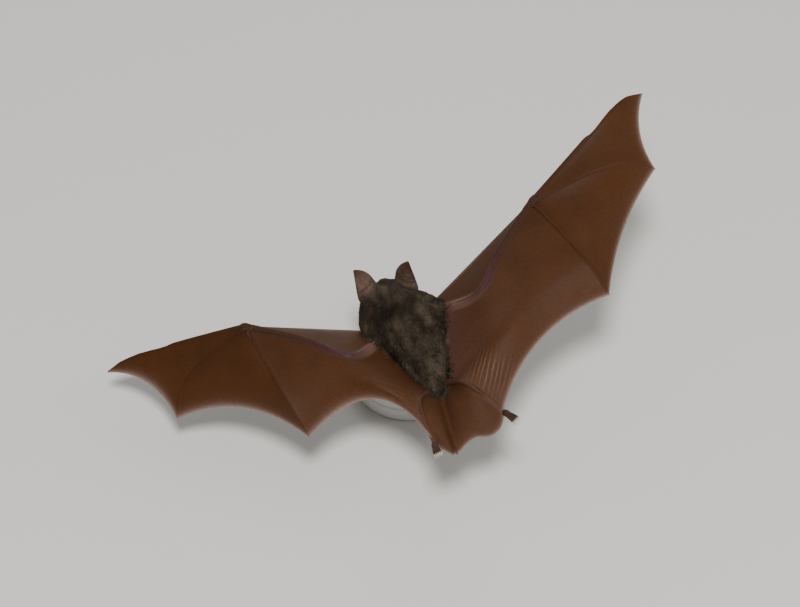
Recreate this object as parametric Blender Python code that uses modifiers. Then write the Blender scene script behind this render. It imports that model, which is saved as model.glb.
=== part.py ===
"""A brown bat (a mouse-eared bat, Myotis) banking in flight, life size, held on a plain display stand.

The bat is modelled in its own body frame, in millimetres: +X to the bat's right, +Y to its head, +Z to
its back, with the origin in the middle of the trunk. The empty bat_pose carries that frame to its place
over the stand, pitched and banked, and the empty head_pose carries the head's own frame on the neck.
The stand is upright. The origin of the scene is the middle of the underside of its base.
"""

import math

import bmesh
import bpy
from mathutils import Euler, Matrix, Vector, geometry

MM = 0.001
GAP = 0.3  # the thin cut between neighbouring pieces

# ---------------------------------------------------------------- driving sizes, in millimetres

HUMERUS, FOREARM, FOREARM_BOW = 22.5, 38.5, 1.0
FINGER_BONES = {
    "finger_2": (30.0, 3.5),
    "finger_3": (34.5, 12.0, 9.0, 6.5),
    "finger_4": (30.5, 7.5, 6.5),
    "finger_5": (29.5, 7.5, 6.5),
}
THUMB_BONES = (2.8, 2.6, 1.6)
THIGH, SHIN, INSTEP, CALCAR = 12.0, 16.2, 4.4, 9.0
TOE, TOES, TOE_SPREAD = 4.2, 5, 2.7
TAIL_BONES = (6.5, 6.5, 6.0, 5.0, 3.6)
EAR_LENGTH, TRAGUS_LENGTH = 13.2, 6.4
EYE_RADIUS = 0.95
SHEET = 0.5  # thickness of the wing membranes and ears
EDGE_MARGIN = 0.12  # more room beside a bone, as a membrane's straight facets cut its curves
BODY_PLACE = (-6.0, -27.0, 50.0)  # middle of the trunk, from the middle of the base's underside
BASE_RADIUS, BASE_THICKNESS, BASE_EDGE, ROD_RADIUS = 22.0, 6.0, 0.8, 1.25
ROD_PLACE = (1.0, 13.0)  # where the rod meets the chest, in the body frame

# Radii of the limbs from their near to their far end, out to the tips of their fur.
UPPER_ARM_RADII = (3.4, 2.4, 1.7, 1.35)
FOREARM_RADII = (1.35, 1.45, 1.2, 1.0, 0.95, 1.1, 1.3)
FINGER_RADII = {
    "finger_2": (0.42, 0.34, 0.3),
    "finger_3": (0.6, 0.45, 0.5, 0.36, 0.32, 0.28),
    "finger_4": (0.55, 0.42, 0.45, 0.33, 0.28),
    "finger_5": (0.58, 0.42, 0.45, 0.33, 0.28),
}
THUMB_RADII = (0.7, 0.6, 0.5, 0.3)
THIGH_RADII = (2.4, 1.9, 1.35, 1.15)
SHIN_RADII = (1.1, 1.15, 0.85, 0.75)
INSTEP_RADII = (1.25, 2.6, 0.85)  # across, along, up
TOE_RADII = (0.42, 0.4, 0.36, 0.28)
TAIL_RADII = (1.15, 0.95, 0.8, 0.62, 0.5, 0.35)

# ---------------------------------------------------------------- the pose, in degrees

BODY_PITCH, BODY_BANK = 3.0, 18.0  # head up, left wing down
HEAD_PITCH, HEAD_ROLL, HEAD_YAW = -27.0, 13.0, -9.0  # bowed, almost level again, to the right

# Each bone points (sweep, rise): sweep is forward of straight out to the side, rise is up.
POSE = {
    "right": {
        "humerus": (-25, 26),
        "forearm": (40, -3),
        "thumb": ((75, -45), (85, -58), (110, -75)),
        "finger_2": ((31.5, -8), (32, -12)),
        "finger_3": ((32, -8), (34, -12), (24, -17), (-4, -22)),
        "finger_4": ((2, -7), (-18, -19), (-31, -25)),
        "finger_5": ((-76, -3), (-80, -24), (-84, -36)),
        "thigh": (-50, 36),
        "shin": (-61, -19),
        "foot": (-69, 20),
        "calcar": (-118, 4),
    },
    "left": {
        "humerus": (-42, 40),
        "forearm": (43, 8),
        "thumb": ((75, -45), (85, -58), (110, -75)),
        "finger_2": ((26.5, -17), (25, -18)),
        "finger_3": ((27, -17), (26, -18), (18, -20), (4, -23)),
        "finger_4": ((3, -28), (-34, -28), (-50, -30)),
        "finger_5": ((-96, -13), (-95, -30), (-93, -40)),
        "thigh": (-59, 46),
        "shin": (-85, -4),
        "foot": (-89, 30),
        "calcar": (-116, 4),
    },
}
TAIL_SWEEP, TAIL_RISES = -97.0, (5, 9, 10, 8, 4)  # backwards, a little towards the left
# How far the trailing edges curve in, as a share of their length.
TRAILING_SAG = {
    "right": {"tip": 0.09, "hand": 0.06, "arm": 0.13, "tail": 0.16},
    "left": {"tip": 0.15, "hand": 0.13, "arm": 0.31, "tail": 0.08},
}
BILLOW = {"tip": 0.8, "hand": 1.6, "arm": 2.4, "fore": 0.6, "tail": 0.4}  # rise of the membranes
LEG_FADE = 3.0  # how soon the big membrane flattens out away from the bent leg

# Where each bone leaves the wrist: along the forearm, across it towards the front edge, and up.
WRIST_SEATS = {
    "thumb": (-1.0, 1.2, -1.8),
    "finger_2": (1.6, 1.35, 0.0),
    "finger_3": (1.9, 0.0, 0.0),
    "finger_4": (1.6, -1.6, 0.0),
    "finger_5": (-0.3, -2.15, 0.0),
}

SHOULDER, HIP, RUMP = (8.5, 11.0, 1.0), (3.0, -18.0, 0.5), (0.0, -20.0, 1.2)
FLANK = (9.0, 1.0, 0.3)  # inside the flank, where the wing membrane meets it
CHEEK = (14.0, 15.6, 0.0)  # where the wing's front edge meets the side of the neck
# Middle line, half width, and height above and depth below that line, out to the tips of the coat.
TRUNK_SECTIONS = (  # x, y, z, half width, above, below
    (0.0, -21.5, 1.2, 0.9, 1.0, 1.0),
    (0.0, -20.0, 1.1, 2.6, 2.3, 2.3),
    (0.0, -16.5, 0.9, 4.6, 3.9, 3.9),
    (0.0, -12.0, 0.6, 6.4, 5.3, 5.6),
    (0.0, -6.5, 0.3, 8.3, 6.6, 7.2),
    (0.0, -0.5, 0.0, 10.4, 7.6, 8.3),
    (0.0, 4.5, 0.2, 12.6, 8.1, 8.8),
    (-0.5, 9.0, 0.4, 14.5, 8.1, 8.4),
    (-1.3, 13.0, 0.6, 14.6, 7.6, 7.5),
    (-2.0, 16.0, 0.8, 13.8, 7.1, 6.6),
)
HEAD_PIVOT = (-2.4, 19.4, 3.0)
HEAD_SECTIONS = (  # x, forward of the pivot, z, half width, above, below
    (0.0, 1.0, 0.3, 11.6, 6.2, 5.6),
    (0.0, 4.0, 0.8, 10.2, 6.1, 5.6),
    (0.0, 7.2, 0.9, 7.9, 5.2, 5.1),
    (0.0, 10.0, 0.4, 5.5, 4.0, 4.4),
    (0.0, 12.4, -0.2, 4.1, 2.8, 3.7),
    (0.0, 14.8, -0.6, 3.4, 2.1, 2.9),
    (0.0, 16.6, -0.8, 2.7, 1.6, 2.1),
    (0.0, 17.6, -0.8, 1.6, 1.0, 1.2),
)
GAPE, MOUTH_TILT = (0.0, 9.8, -1.5), -3.0  # the corner of the mouth and the slope of its line
EYE_PLACE = (4.0, 10.7, 1.6)
NOSE_PLACE, NOSE_RADII = (0.0, 18.65, -0.8), (1.5, 0.75, 0.95)
RING_SIDES = 20
SQUARENESS = 2.25  # exponent of the sections' superellipse, where 2 is an ellipse

EAR_FOOT = (6.6, 5.1, 2.8)
EAR_TURNS = {"left": (12, -7, 47), "right": (2, -15, 49)}  # lean out, tilt forward, opening's turn out
EAR_HALF_WIDTHS = (4.0, 4.8, 4.7, 4.2, 3.5, 2.6, 1.5, 0.35)
EAR_ROLLS = (86, 72, 58, 48, 40, 34, 28, 20)  # half the angle that the rolled leaf spans
EAR_HOOK, EAR_HEEL = 2.0, 0.8  # how far its tip and its foot reach back

# ---------------------------------------------------------------- colours

MATERIALS = {  # colour, roughness, metallic
    "fur": ((0.085, 0.062, 0.045), 0.9, 0.0),
    "membrane": ((0.115, 0.055, 0.033), 0.5, 0.0),
    "ear_skin": ((0.20, 0.12, 0.09), 0.55, 0.0),
    "limb_skin": ((0.14, 0.08, 0.065), 0.5, 0.0),
    "eye": ((0.006, 0.005, 0.005), 0.08, 0.0),
    "nose_skin": ((0.10, 0.055, 0.045), 0.45, 0.0),
    "base_paint": ((0.62, 0.61, 0.58), 0.45, 0.0),
    "rod_steel": ((0.55, 0.55, 0.56), 0.3, 1.0),
}


# ---------------------------------------------------------------- scene, materials and objects


def clear_scene():
    for obj in list(bpy.data.objects):
        bpy.data.objects.remove(obj, do_unlink=True)


def new_collection(name):
    made = bpy.data.collections.new(name)
    bpy.context.scene.collection.children.link(made)
    return made


def new_empty(name, place, turn, parent=None):
    empty = bpy.data.objects.new(name, None)
    PARTS.objects.link(empty)
    empty.location = Vector(place) * MM
    empty.rotation_euler = turn
    empty.parent = parent
    return empty


def material(name):
    found = bpy.data.materials.get(name)
    if found:
        return found
    colour, roughness, metallic = MATERIALS[name]
    made = bpy.data.materials.new(name)
    made.use_nodes = True
    shader = made.node_tree.nodes["Principled BSDF"]
    shader.inputs["Base Color"].default_value = (*colour, 1.0)
    shader.inputs["Roughness"].default_value = roughness
    shader.inputs["Metallic"].default_value = metallic
    return made


def object_from_bmesh(name, bm, finish, parent=None):
    """An object from a mesh in millimetres. Without a finish it is a cutter."""
    bm.transform(Matrix.Scale(MM, 4))
    mesh = bpy.data.meshes.new(name)
    bm.to_mesh(mesh)
    bm.free()
    mesh.shade_smooth()
    mesh.set_sharp_from_angle(angle=math.radians(50))
    obj = bpy.data.objects.new(name, mesh)
    obj.parent = parent
    if finish:
        PARTS.objects.link(obj)
        mesh.materials.append(material(finish))
    else:
        CUTTERS.objects.link(obj)
        obj.hide_render = True
        obj.display_type = "WIRE"
    return obj


def combine(obj, other, operation="DIFFERENCE"):
    modifier = obj.modifiers.new(operation.lower() + "_" + other.name, "BOOLEAN")
    modifier.operation = operation
    modifier.object = other


# ---------------------------------------------------------------- curves in space


def direction(side, sweep, rise):
    """A unit vector out to one side, swept forward and raised by so many degrees."""
    sweep, rise = math.radians(sweep), math.radians(rise)
    sign = SIGN[side]
    out = math.cos(rise)
    return Vector((sign * math.cos(sweep) * out, math.sin(sweep) * out, math.sin(rise)))


def on_side(side, place):
    return Vector((SIGN[side] * place[0], place[1], place[2]))


def chain(start, lengths, aims, side):
    """The joints of a row of bones, each with its length and its aim."""
    joints = [start.copy()]
    for length, (sweep, rise) in zip(lengths, aims):
        joints.append(joints[-1] + direction(side, sweep, rise) * length)
    return joints


def on_curve(points, share):
    """A point on the smooth curve through some points, at a share of its length."""
    runs = [(b - a).length for a, b in zip(points, points[1:])]
    along = min(max(share, 0.0), 1.0) * sum(runs)
    index = 0
    while index < len(runs) - 1 and along > runs[index]:
        along -= runs[index]
        index += 1
    t = along / runs[index]
    near, far = points[index], points[index + 1]
    before = points[index - 1] if index else near * 2 - far
    after = points[index + 2] if index + 2 < len(points) else far * 2 - near
    leave = ((near - before) * (runs[index] / (near - before).length) + far - near) / 2
    arrive = (far - near + (after - far) * (runs[index] / (after - far).length)) / 2
    return (
        near * (2 * t**3 - 3 * t**2 + 1)
        + leave * (t**3 - 2 * t**2 + t)
        + far * (3 * t**2 - 2 * t**3)
        + arrive * (t**3 - t**2)
    )


def curve_through(points):
    return lambda share: on_curve(points, share)


def between_rows(rows, share):
    """A row of numbers on the smooth curve through evenly spaced rows."""
    place = min(max(share, 0.0), 1.0) * (len(rows) - 1)
    i = min(int(place), len(rows) - 2)
    t = place - i
    picked = (rows[max(i - 1, 0)], rows[i], rows[i + 1], rows[min(i + 2, len(rows) - 1)])
    return [
        b + 0.5 * t * (c - a + t * (2 * a - 5 * b + 4 * c - d + t * (3 * (b - c) + d - a)))
        for a, b, c, d in zip(*picked)
    ]


def between(values, share):
    return between_rows([(value,) for value in values], share)[0]


def distance_to_line(point, line):
    nearest = math.inf
    for a, b in zip(line, line[1:]):
        foot, share = geometry.intersect_point_line(point, a, b)
        foot = a if share < 0 else b if share > 1 else foot
        nearest = min(nearest, (point - foot).length)
    return nearest


# ---------------------------------------------------------------- lofts and limbs


def ring(centre, half_width, above, below, turn=None):
    """One cross-section: a superellipse that may be deeper below than above."""
    points = []
    for k in range(RING_SIDES):
        angle = 2 * math.pi * k / RING_SIDES
        across, up = math.cos(angle), math.sin(angle)
        height = above if up > 0 else below
        offset = Vector(
            (
                half_width * math.copysign(abs(across) ** (2 / SQUARENESS), across),
                0,
                height * math.copysign(abs(up) ** (2 / SQUARENESS), up),
            )
        )
        if turn:
            offset.rotate(turn)
        points.append(Vector(centre) + offset)
    return points


def loft(name, rings, finish, parent):
    """A closed skin over a row of rings, with flat ends."""
    bm = bmesh.new()
    rows = [[bm.verts.new(point) for point in points] for points in rings]
    for a, b in zip(rows, rows[1:]):
        for k in range(RING_SIDES):
            n = (k + 1) % RING_SIDES
            bm.faces.new((a[k], a[n], b[n], b[k]))
    bm.faces.new(rows[0])
    bm.faces.new(reversed(rows[-1]))
    bmesh.ops.recalc_face_normals(bm, faces=bm.faces)
    return object_from_bmesh(name, bm, finish, parent)


def tube_bmesh(points, radii, resolution):
    """A round tapering tube along some points, with closed ends, from a bevelled curve."""
    data = bpy.data.curves.new("tube", "CURVE")
    data.dimensions = "3D"
    data.bevel_depth = 1.0
    data.bevel_resolution = resolution
    data.use_fill_caps = True
    line = data.splines.new("POLY")
    line.points.add(len(points) - 1)
    for place, point, radius in zip(line.points, points, radii):
        place.co = (*point, 1)
        place.radius = radius
    guide = bpy.data.objects.new("tube_guide", data)
    CUTTERS.objects.link(guide)
    evaluated = guide.evaluated_get(bpy.context.evaluated_depsgraph_get())
    mesh = bpy.data.meshes.new_from_object(evaluated)
    bpy.data.objects.remove(guide)
    bm = bmesh.new()
    bm.from_mesh(mesh)
    bpy.data.meshes.remove(mesh)
    bmesh.ops.remove_doubles(bm, verts=bm.verts, dist=0.002)
    bmesh.ops.recalc_face_normals(bm, faces=bm.faces)
    return bm


def limb_points(joints, radii, end=1.0):
    """Evenly spaced points on the smooth curve through a limb's joints, up to a share of its length."""
    steps = max(len(radii) - 1, 2 * (len(joints) - 1))
    return [on_curve(joints, end * k / steps) for k in range(steps + 1)]


def limb(name, joints, radii, finish, parent=None, end=1.0, resolution=1):
    """A tapering limb along its joints, with its radii spread evenly over its length."""
    points = limb_points(joints, radii, end)
    last = len(points) - 1
    sizes = [between(radii, k / last) for k in range(last + 1)]
    return object_from_bmesh(name, tube_bmesh(points, sizes, resolution), finish, parent)


# ---------------------------------------------------------------- membranes


def coons(front, back, inner, outer, billow, fade=1.0):
    """The surface inside four edge curves: u runs from inner to outer, v from front to back."""

    def surface(u, v):
        across = front(u) * (1 - v) + back(u) * v
        near = front(0) * (1 - v) + back(0) * v
        far = front(1) * (1 - v) + back(1) * v
        sides = (inner(v) - near) * (1 - u) ** fade + (outer(v) - far) * u**fade
        rise = billow * 16 * u * (1 - u) * v * (1 - v)
        return across + sides + Vector((0, 0, rise))

    return surface


def trailing_edge(start, end, sag, towards):
    """A free edge between two tips, curving in towards a point by a share of its length."""
    chord = end - start
    inwards = towards - start
    inwards -= chord * (inwards.dot(chord) / chord.length_squared)
    inwards.normalize()
    return lambda share: start + chord * share + inwards * (
        4 * share * (1 - share) * sag * chord.length
    )


def first_clear(path, bones, limit=0.5, steps=60):
    """How far along a path it first keeps clear of the given bones, each a line and a reach."""
    for k in range(steps + 1):
        share = limit * k / steps
        if all(distance_to_line(path(share), line) >= reach for line, reach in bones):
            return share
    return limit


def membrane(
    name, surface, steps_u, steps_v, inner=(), outer=(), front=(), v_first=0.0, u_last=1.0
):
    """A thin sheet on a surface, trimmed clear of the bones along its inner, outer and front edges."""
    bm = bmesh.new()
    rows = []
    for j in range(steps_v + 1):
        row = []
        for i in range(steps_u + 1):
            u = u_last * i / steps_u
            for _ in range(2):
                top = max(v_first, first_clear(lambda s: surface(u, s), front))
                v = top + (1 - top) * j / steps_v
                low = first_clear(lambda s: surface(s, v), inner)
                high = first_clear(lambda s: surface(u_last - s, v), outer)
                u = low + (u_last - high - low) * i / steps_u
            row.append(bm.verts.new(surface(u, v)))
        rows.append(row)
    for a, b in zip(rows, rows[1:]):
        for i in range(steps_u):
            bm.faces.new((a[i], a[i + 1], b[i + 1], b[i]))
    made = object_from_bmesh(name, bm, "membrane", BAT)
    skin = made.modifiers.new("thickness", "SOLIDIFY")
    skin.thickness = SHEET * MM
    skin.offset = 0
    return made


def keep_off(joints, radii, radius=None):
    """A bone's line and how far from it a membrane's edge stays."""
    return limb_points(joints, radii), (radius or max(radii)) + GAP + EDGE_MARGIN


# ---------------------------------------------------------------- trunk, neck and head


def body_ring(sections, share, swell=0.0):
    *middle, half_width, above, below = between_rows(sections, share)
    return ring(middle, half_width + swell, above + swell, below + swell)


def trunk_ring(share, swell=0.0):
    return body_ring(TRUNK_SECTIONS, share, swell)


def head_ring(share, swell=0.0):
    return body_ring(HEAD_SECTIONS, share, swell)


def swollen_loft(name, rings, parent):
    """A cutter over swollen rings whose ends also stand off by the gap."""
    rings[0] = [point - Vector((0, GAP, 0)) for point in rings[0]]
    rings[-1] = [point + Vector((0, GAP, 0)) for point in rings[-1]]
    return loft(name, rings, None, parent)


def to_body(point):
    """A point of the head's frame in the body frame."""
    turned = Vector(point)
    turned.rotate(HEAD_TURN)
    return Vector(HEAD_PIVOT) + turned


def make_trunk():
    steps = 14
    loft("trunk", [trunk_ring(k / steps) for k in range(steps + 1)], "fur", BAT)
    swollen = [trunk_ring(k / steps, GAP) for k in range(steps + 1)]
    return swollen_loft("trunk_clearance", swollen, BAT)


def make_neck():
    """The nape and throat, between the last ring of the trunk and the first of the head."""
    back = [p + Vector((0, GAP, 0)) for p in trunk_ring(1.0)]
    front = [to_body(p - Vector((0, GAP, 0))) for p in head_ring(0.0)]
    steps = 3
    rings = [[a.lerp(b, k / steps) for a, b in zip(back, front)] for k in range(steps + 1)]
    loft("neck", rings, "fur", BAT)
    back = trunk_ring(1.0, 2 * GAP)
    front = [to_body(point) for point in head_ring(0.0, 2 * GAP)]
    return loft("neck_clearance", [back, front], None, BAT)


def mouth_region(name, grow):
    """A box around the lower jaw, from the corner of the mouth forwards and from its line down."""
    length, depth, width = 12.0, 8.0, 20.0
    bm = bmesh.new()
    bmesh.ops.create_cube(bm, size=1.0)
    bm.transform(Matrix.Diagonal((width, length + grow, depth + grow, 1)))
    bm.transform(Matrix.Translation((0, (length - grow) / 2, (grow - depth) / 2)))
    bm.transform(Euler((math.radians(MOUTH_TILT), 0, 0)).to_matrix().to_4x4())
    bm.transform(Matrix.Translation(GAPE))
    return object_from_bmesh(name, bm, None, HEAD)


def head_rings(swell=0.0):
    steps = 12
    return [head_ring(k / steps, swell) for k in range(steps + 1)]


def make_head():
    head = loft("head", head_rings(), "fur", HEAD)
    combine(head, mouth_region("mouth_cut", GAP))
    jaw = loft("lower_jaw", head_rings(), "fur", HEAD)
    combine(jaw, mouth_region("jaw_region", 0.0), "INTERSECT")
    return head


def ball(name, place, radii, finish, parent, segments=12):
    bm = bmesh.new()
    bmesh.ops.create_uvsphere(bm, u_segments=segments, v_segments=segments // 2 + 2, radius=1.0)
    bm.transform(Matrix.Diagonal((*radii, 1)))
    bm.transform(Matrix.Translation(place))
    return object_from_bmesh(name, bm, finish, parent)


def make_eyes(head):
    for side in SIGN:
        place = on_side(side, EYE_PLACE)
        ball("eye_" + side, place, (EYE_RADIUS,) * 3, "eye", HEAD)
        socket = ball("eye_socket_" + side, place, (EYE_RADIUS + GAP,) * 3, None, HEAD)
        combine(head, socket)


def make_nose():
    ball("nose", NOSE_PLACE, NOSE_RADII, "nose_skin", HEAD)


# ---------------------------------------------------------------- ears


def ear_axes(side):
    """The ear's own directions: along it to the tip, across it, and out of its opening."""
    sign = SIGN[side]
    lean, tilt, face = (math.radians(angle) for angle in EAR_TURNS[side])
    along = Vector((sign * math.sin(lean), math.sin(tilt), math.cos(lean))).normalized()
    opening = Vector((sign * math.sin(face), math.cos(face), 0))
    opening = (opening - along * opening.dot(along)).normalized()
    backwards = opening.cross(along) * sign
    return along, backwards, opening


def ear_point(side, u, v):
    """A point of the pinna: u from its front to its back edge, v from its foot to its tip.

    It is a rolled leaf, most deeply cupped at its foot, whose narrow tip hooks back.
    """
    along, backwards, opening = ear_axes(side)
    roll = math.radians(between(EAR_ROLLS, v))
    radius = between(EAR_HALF_WIDTHS, v) / math.sin(roll)
    angle = (2 * u - 1) * roll
    across = radius * math.sin(angle) + EAR_HOOK * v**3 + EAR_HEEL * (1 - v) ** 2
    depth = radius * (math.cos(angle) - math.cos(roll))
    return on_side(side, EAR_FOOT) + along * EAR_LENGTH * v + backwards * across - opening * depth


def leaf(name, point, steps_u, steps_v, finish):
    bm = bmesh.new()
    rows = [
        [bm.verts.new(point(i / steps_u, j / steps_v)) for i in range(steps_u + 1)]
        for j in range(steps_v + 1)
    ]
    for a, b in zip(rows, rows[1:]):
        for i in range(steps_u):
            bm.faces.new((a[i], a[i + 1], b[i + 1], b[i]))
    made = object_from_bmesh(name, bm, finish, HEAD)
    skin = made.modifiers.new("thickness", "SOLIDIFY")
    skin.thickness = SHEET * MM
    skin.offset = 0
    return made


def tragus_point(side, u, v):
    """The blunt narrow lobe that stands in front of the ear's opening."""
    along, backwards, opening = ear_axes(side)
    half = between((0.95, 0.9, 0.8, 0.6, 0.3), v)
    foot = on_side(side, EAR_FOOT) + along * 2.6 + opening * 0.2 - backwards * 1.1
    return foot + along * TRAGUS_LENGTH * v + backwards * half * (2 * u - 1) + opening * 0.6 * v


def make_ears(*clearances):
    for side in SIGN:
        ear = leaf("ear_" + side, lambda u, v: ear_point(side, u, v), 8, 9, "ear_skin")
        tragus = leaf("tragus_" + side, lambda u, v: tragus_point(side, u, v), 2, 5, "ear_skin")
        for clearance in clearances:
            combine(ear, clearance)
            combine(tragus, clearance)


# ---------------------------------------------------------------- wings


def wing_joints(side):
    """Every joint of one wing, by bone."""
    pose = POSE[side]
    shoulder = on_side(side, SHOULDER)
    elbow = shoulder + direction(side, *pose["humerus"]) * HUMERUS
    along = direction(side, *pose["forearm"])
    wrist = elbow + along * FOREARM
    lead = Vector((0, 0, 1)).cross(along) * SIGN[side]
    lead.normalize()
    joints = {
        "upper_arm": [shoulder, elbow],
        "forearm": [elbow, elbow.lerp(wrist, 0.45) + lead * FOREARM_BOW, wrist],
    }
    bones = dict(FINGER_BONES, thumb=THUMB_BONES)
    for name, lengths in bones.items():
        forward, across, up = WRIST_SEATS[name]
        seat = wrist + along * forward + lead * across + Vector((0, 0, up))
        joints[name] = chain(seat, lengths, pose[name], side)
    return joints


def make_wing_bones(side, joints, clearance):
    arm = limb(
        "upper_arm_" + side,
        joints["upper_arm"],
        UPPER_ARM_RADII,
        "limb_skin",
        BAT,
        end=1 - (FOREARM_RADII[0] + GAP) / HUMERUS,
        resolution=2,
    )
    combine(arm, clearance)
    limb("forearm_" + side, joints["forearm"], FOREARM_RADII, "limb_skin", BAT, resolution=2)
    limb("thumb_" + side, joints["thumb"], THUMB_RADII, "limb_skin", BAT)
    for name, radii in FINGER_RADII.items():
        limb(name + "_" + side, joints[name], radii, "limb_skin", BAT)


def make_wing_membranes(side, joints, leg, trunk_cutter, neck_cutter):
    sag = TRAILING_SAG[side]
    shoulder, elbow = joints["upper_arm"]
    forearm = joints["forearm"]
    wrist = forearm[-1]
    arm = [shoulder, elbow] + forearm[1:]
    fingers = {name: joints["finger_" + name] for name in "345"}
    arm_bones = [
        keep_off(joints["upper_arm"], UPPER_ARM_RADII, UPPER_ARM_RADII[1]),
        keep_off(forearm, FOREARM_RADII),
    ]
    bones = {
        name: [keep_off(joints["finger_" + name], FINGER_RADII["finger_" + name])]
        for name in fingers
    }
    bones["3"].append(keep_off(joints["finger_2"], FINGER_RADII["finger_2"]))

    # between the neck, the arm and the wrist, in front of the elbow
    cheek = on_side(side, CHEEK)
    tip = wrist + (cheek - wrist).normalized() * 0.5
    surface = coons(
        curve_through(arm),
        lambda u: cheek.lerp(tip, u),
        lambda v: shoulder.lerp(cheek, v),
        lambda v: wrist.lerp(tip, v),
        BILLOW["fore"],
    )
    fore = membrane("propatagium_" + side, surface, 12, 3, front=arm_bones, u_last=0.84)
    combine(fore, trunk_cutter)
    combine(fore, neck_cutter)

    # behind the arm, from the flank and the leg out to the fifth finger
    hip, knee = leg["thigh"]
    ankle = leg["shin"][1]
    flank = [shoulder, on_side(side, FLANK), hip, knee, ankle]
    along_arm = curve_through(arm)
    surface = coons(
        lambda u: along_arm(u) + (fingers["5"][0] - wrist) * u**9,
        trailing_edge(ankle, fingers["5"][-1], sag["arm"], elbow),
        curve_through(flank),
        curve_through(fingers["5"]),
        BILLOW["arm"],
        LEG_FADE,
    )
    legs = [keep_off(leg["thigh"], THIGH_RADII), keep_off(leg["shin"], SHIN_RADII)]
    rear = membrane(
        "plagiopatagium_" + side,
        surface,
        14,
        10,
        inner=legs,
        outer=bones["5"],
        front=arm_bones,
        v_first=0.02,
    )
    combine(rear, trunk_cutter)

    # between the fingers
    for name, near, far, v_first in (("inner", "5", "4", 0.09), ("outer", "4", "3", 0.13)):
        key = {"inner": "hand", "outer": "tip"}[name]
        surface = coons(
            lambda u: wrist.copy(),
            trailing_edge(fingers[near][-1], fingers[far][-1], sag[key], wrist),
            curve_through(fingers[near]),
            curve_through(fingers[far]),
            BILLOW[key],
        )
        membrane(
            "hand_membrane_" + name + "_" + side,
            surface,
            6,
            8,
            inner=bones[near],
            outer=bones[far],
            v_first=v_first,
        )


# ---------------------------------------------------------------- legs and tail


def leg_joints(side):
    pose = POSE[side]
    hip = on_side(side, HIP)
    knee = hip + direction(side, *pose["thigh"]) * THIGH
    ankle = knee + direction(side, *pose["shin"]) * SHIN
    heel = ankle + direction(side, *pose["calcar"]) * CALCAR
    instep = ankle + direction(side, *pose["foot"]) * INSTEP
    return {
        "thigh": [hip, knee],
        "shin": [knee, ankle],
        "instep": [ankle, instep],
        "calcar": [ankle, heel],
    }


def make_leg(side, joints, clearance):
    knee_cut = (SHIN_RADII[0] + GAP) / THIGH
    ankle_cut = (1.0 + GAP) / SHIN
    thigh = limb(
        "thigh_" + side, joints["thigh"], THIGH_RADII, "fur", BAT, end=1 - knee_cut, resolution=2
    )
    combine(thigh, clearance)
    limb("shin_" + side, joints["shin"], SHIN_RADII, "limb_skin", BAT, end=1 - ankle_cut)

    # the foot: toes that fan out from the instep, each ending in its curved claw
    ankle, instep = joints["instep"]
    forward = (instep - ankle).normalized()
    across = forward.cross(Vector((0, 0, 1))).normalized()
    up = across.cross(forward)
    frame = Matrix((across, forward, up)).transposed().to_4x4()
    bm = bmesh.new()
    bmesh.ops.create_uvsphere(bm, u_segments=10, v_segments=6, radius=1.0)
    bm.transform(Matrix.Diagonal((*INSTEP_RADII, 1)))
    bm.transform(Matrix.Translation(ankle + forward * INSTEP / 2) @ frame)
    foot = object_from_bmesh("foot_" + side, bm, "limb_skin", BAT)
    for k in range(TOES):
        lean = (k / (TOES - 1) - 0.5) * TOE_SPREAD
        points = [
            ankle + forward * (INSTEP * 0.6) + across * lean * 0.5,
            ankle + forward * (INSTEP + TOE * 0.3) + across * lean * 0.75 + up * 0.2,
            ankle + forward * (INSTEP + TOE * 0.7) + across * lean * 0.9,
            ankle + forward * (INSTEP + TOE) + across * lean - up * 1.1,
        ]
        toe = limb("toe_" + str(k) + "_" + side, points, TOE_RADII, None, BAT)
        combine(foot, toe, "UNION")


def make_tail(clearance):
    joints = chain(Vector(RUMP), TAIL_BONES, [(TAIL_SWEEP, rise) for rise in TAIL_RISES], "right")
    tail = limb("tail", joints, TAIL_RADII, "limb_skin", BAT)
    combine(tail, clearance)
    return joints


def make_tail_membrane(side, tail, leg, clearance):
    hip, knee, ankle = leg["thigh"][0], leg["thigh"][1], leg["shin"][1]
    heel = leg["calcar"][1]
    inwards = (knee - heel).normalized() * TRAILING_SAG[side]["tail"] * (heel - tail[-1]).length
    middle = tail[-1].lerp(heel, 0.5) + inwards
    rim = [tail[-1], middle, heel.lerp(middle, 0.32), heel.lerp(ankle, 0.36), ankle]
    legs = [
        keep_off(leg["thigh"], THIGH_RADII),
        keep_off(leg["shin"], SHIN_RADII),
        keep_off(leg["instep"], INSTEP_RADII, INSTEP_RADII[0]),
    ]
    surface = coons(
        lambda u: tail[0].lerp(hip, u),
        curve_through(rim),
        curve_through(tail),
        curve_through([hip, knee, ankle]),
        BILLOW["tail"],
    )
    made = membrane(
        "uropatagium_" + side,
        surface,
        5,
        8,
        inner=[keep_off(tail, TAIL_RADII)],
        outer=legs,
    )
    combine(made, clearance)


# ---------------------------------------------------------------- stand


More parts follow.
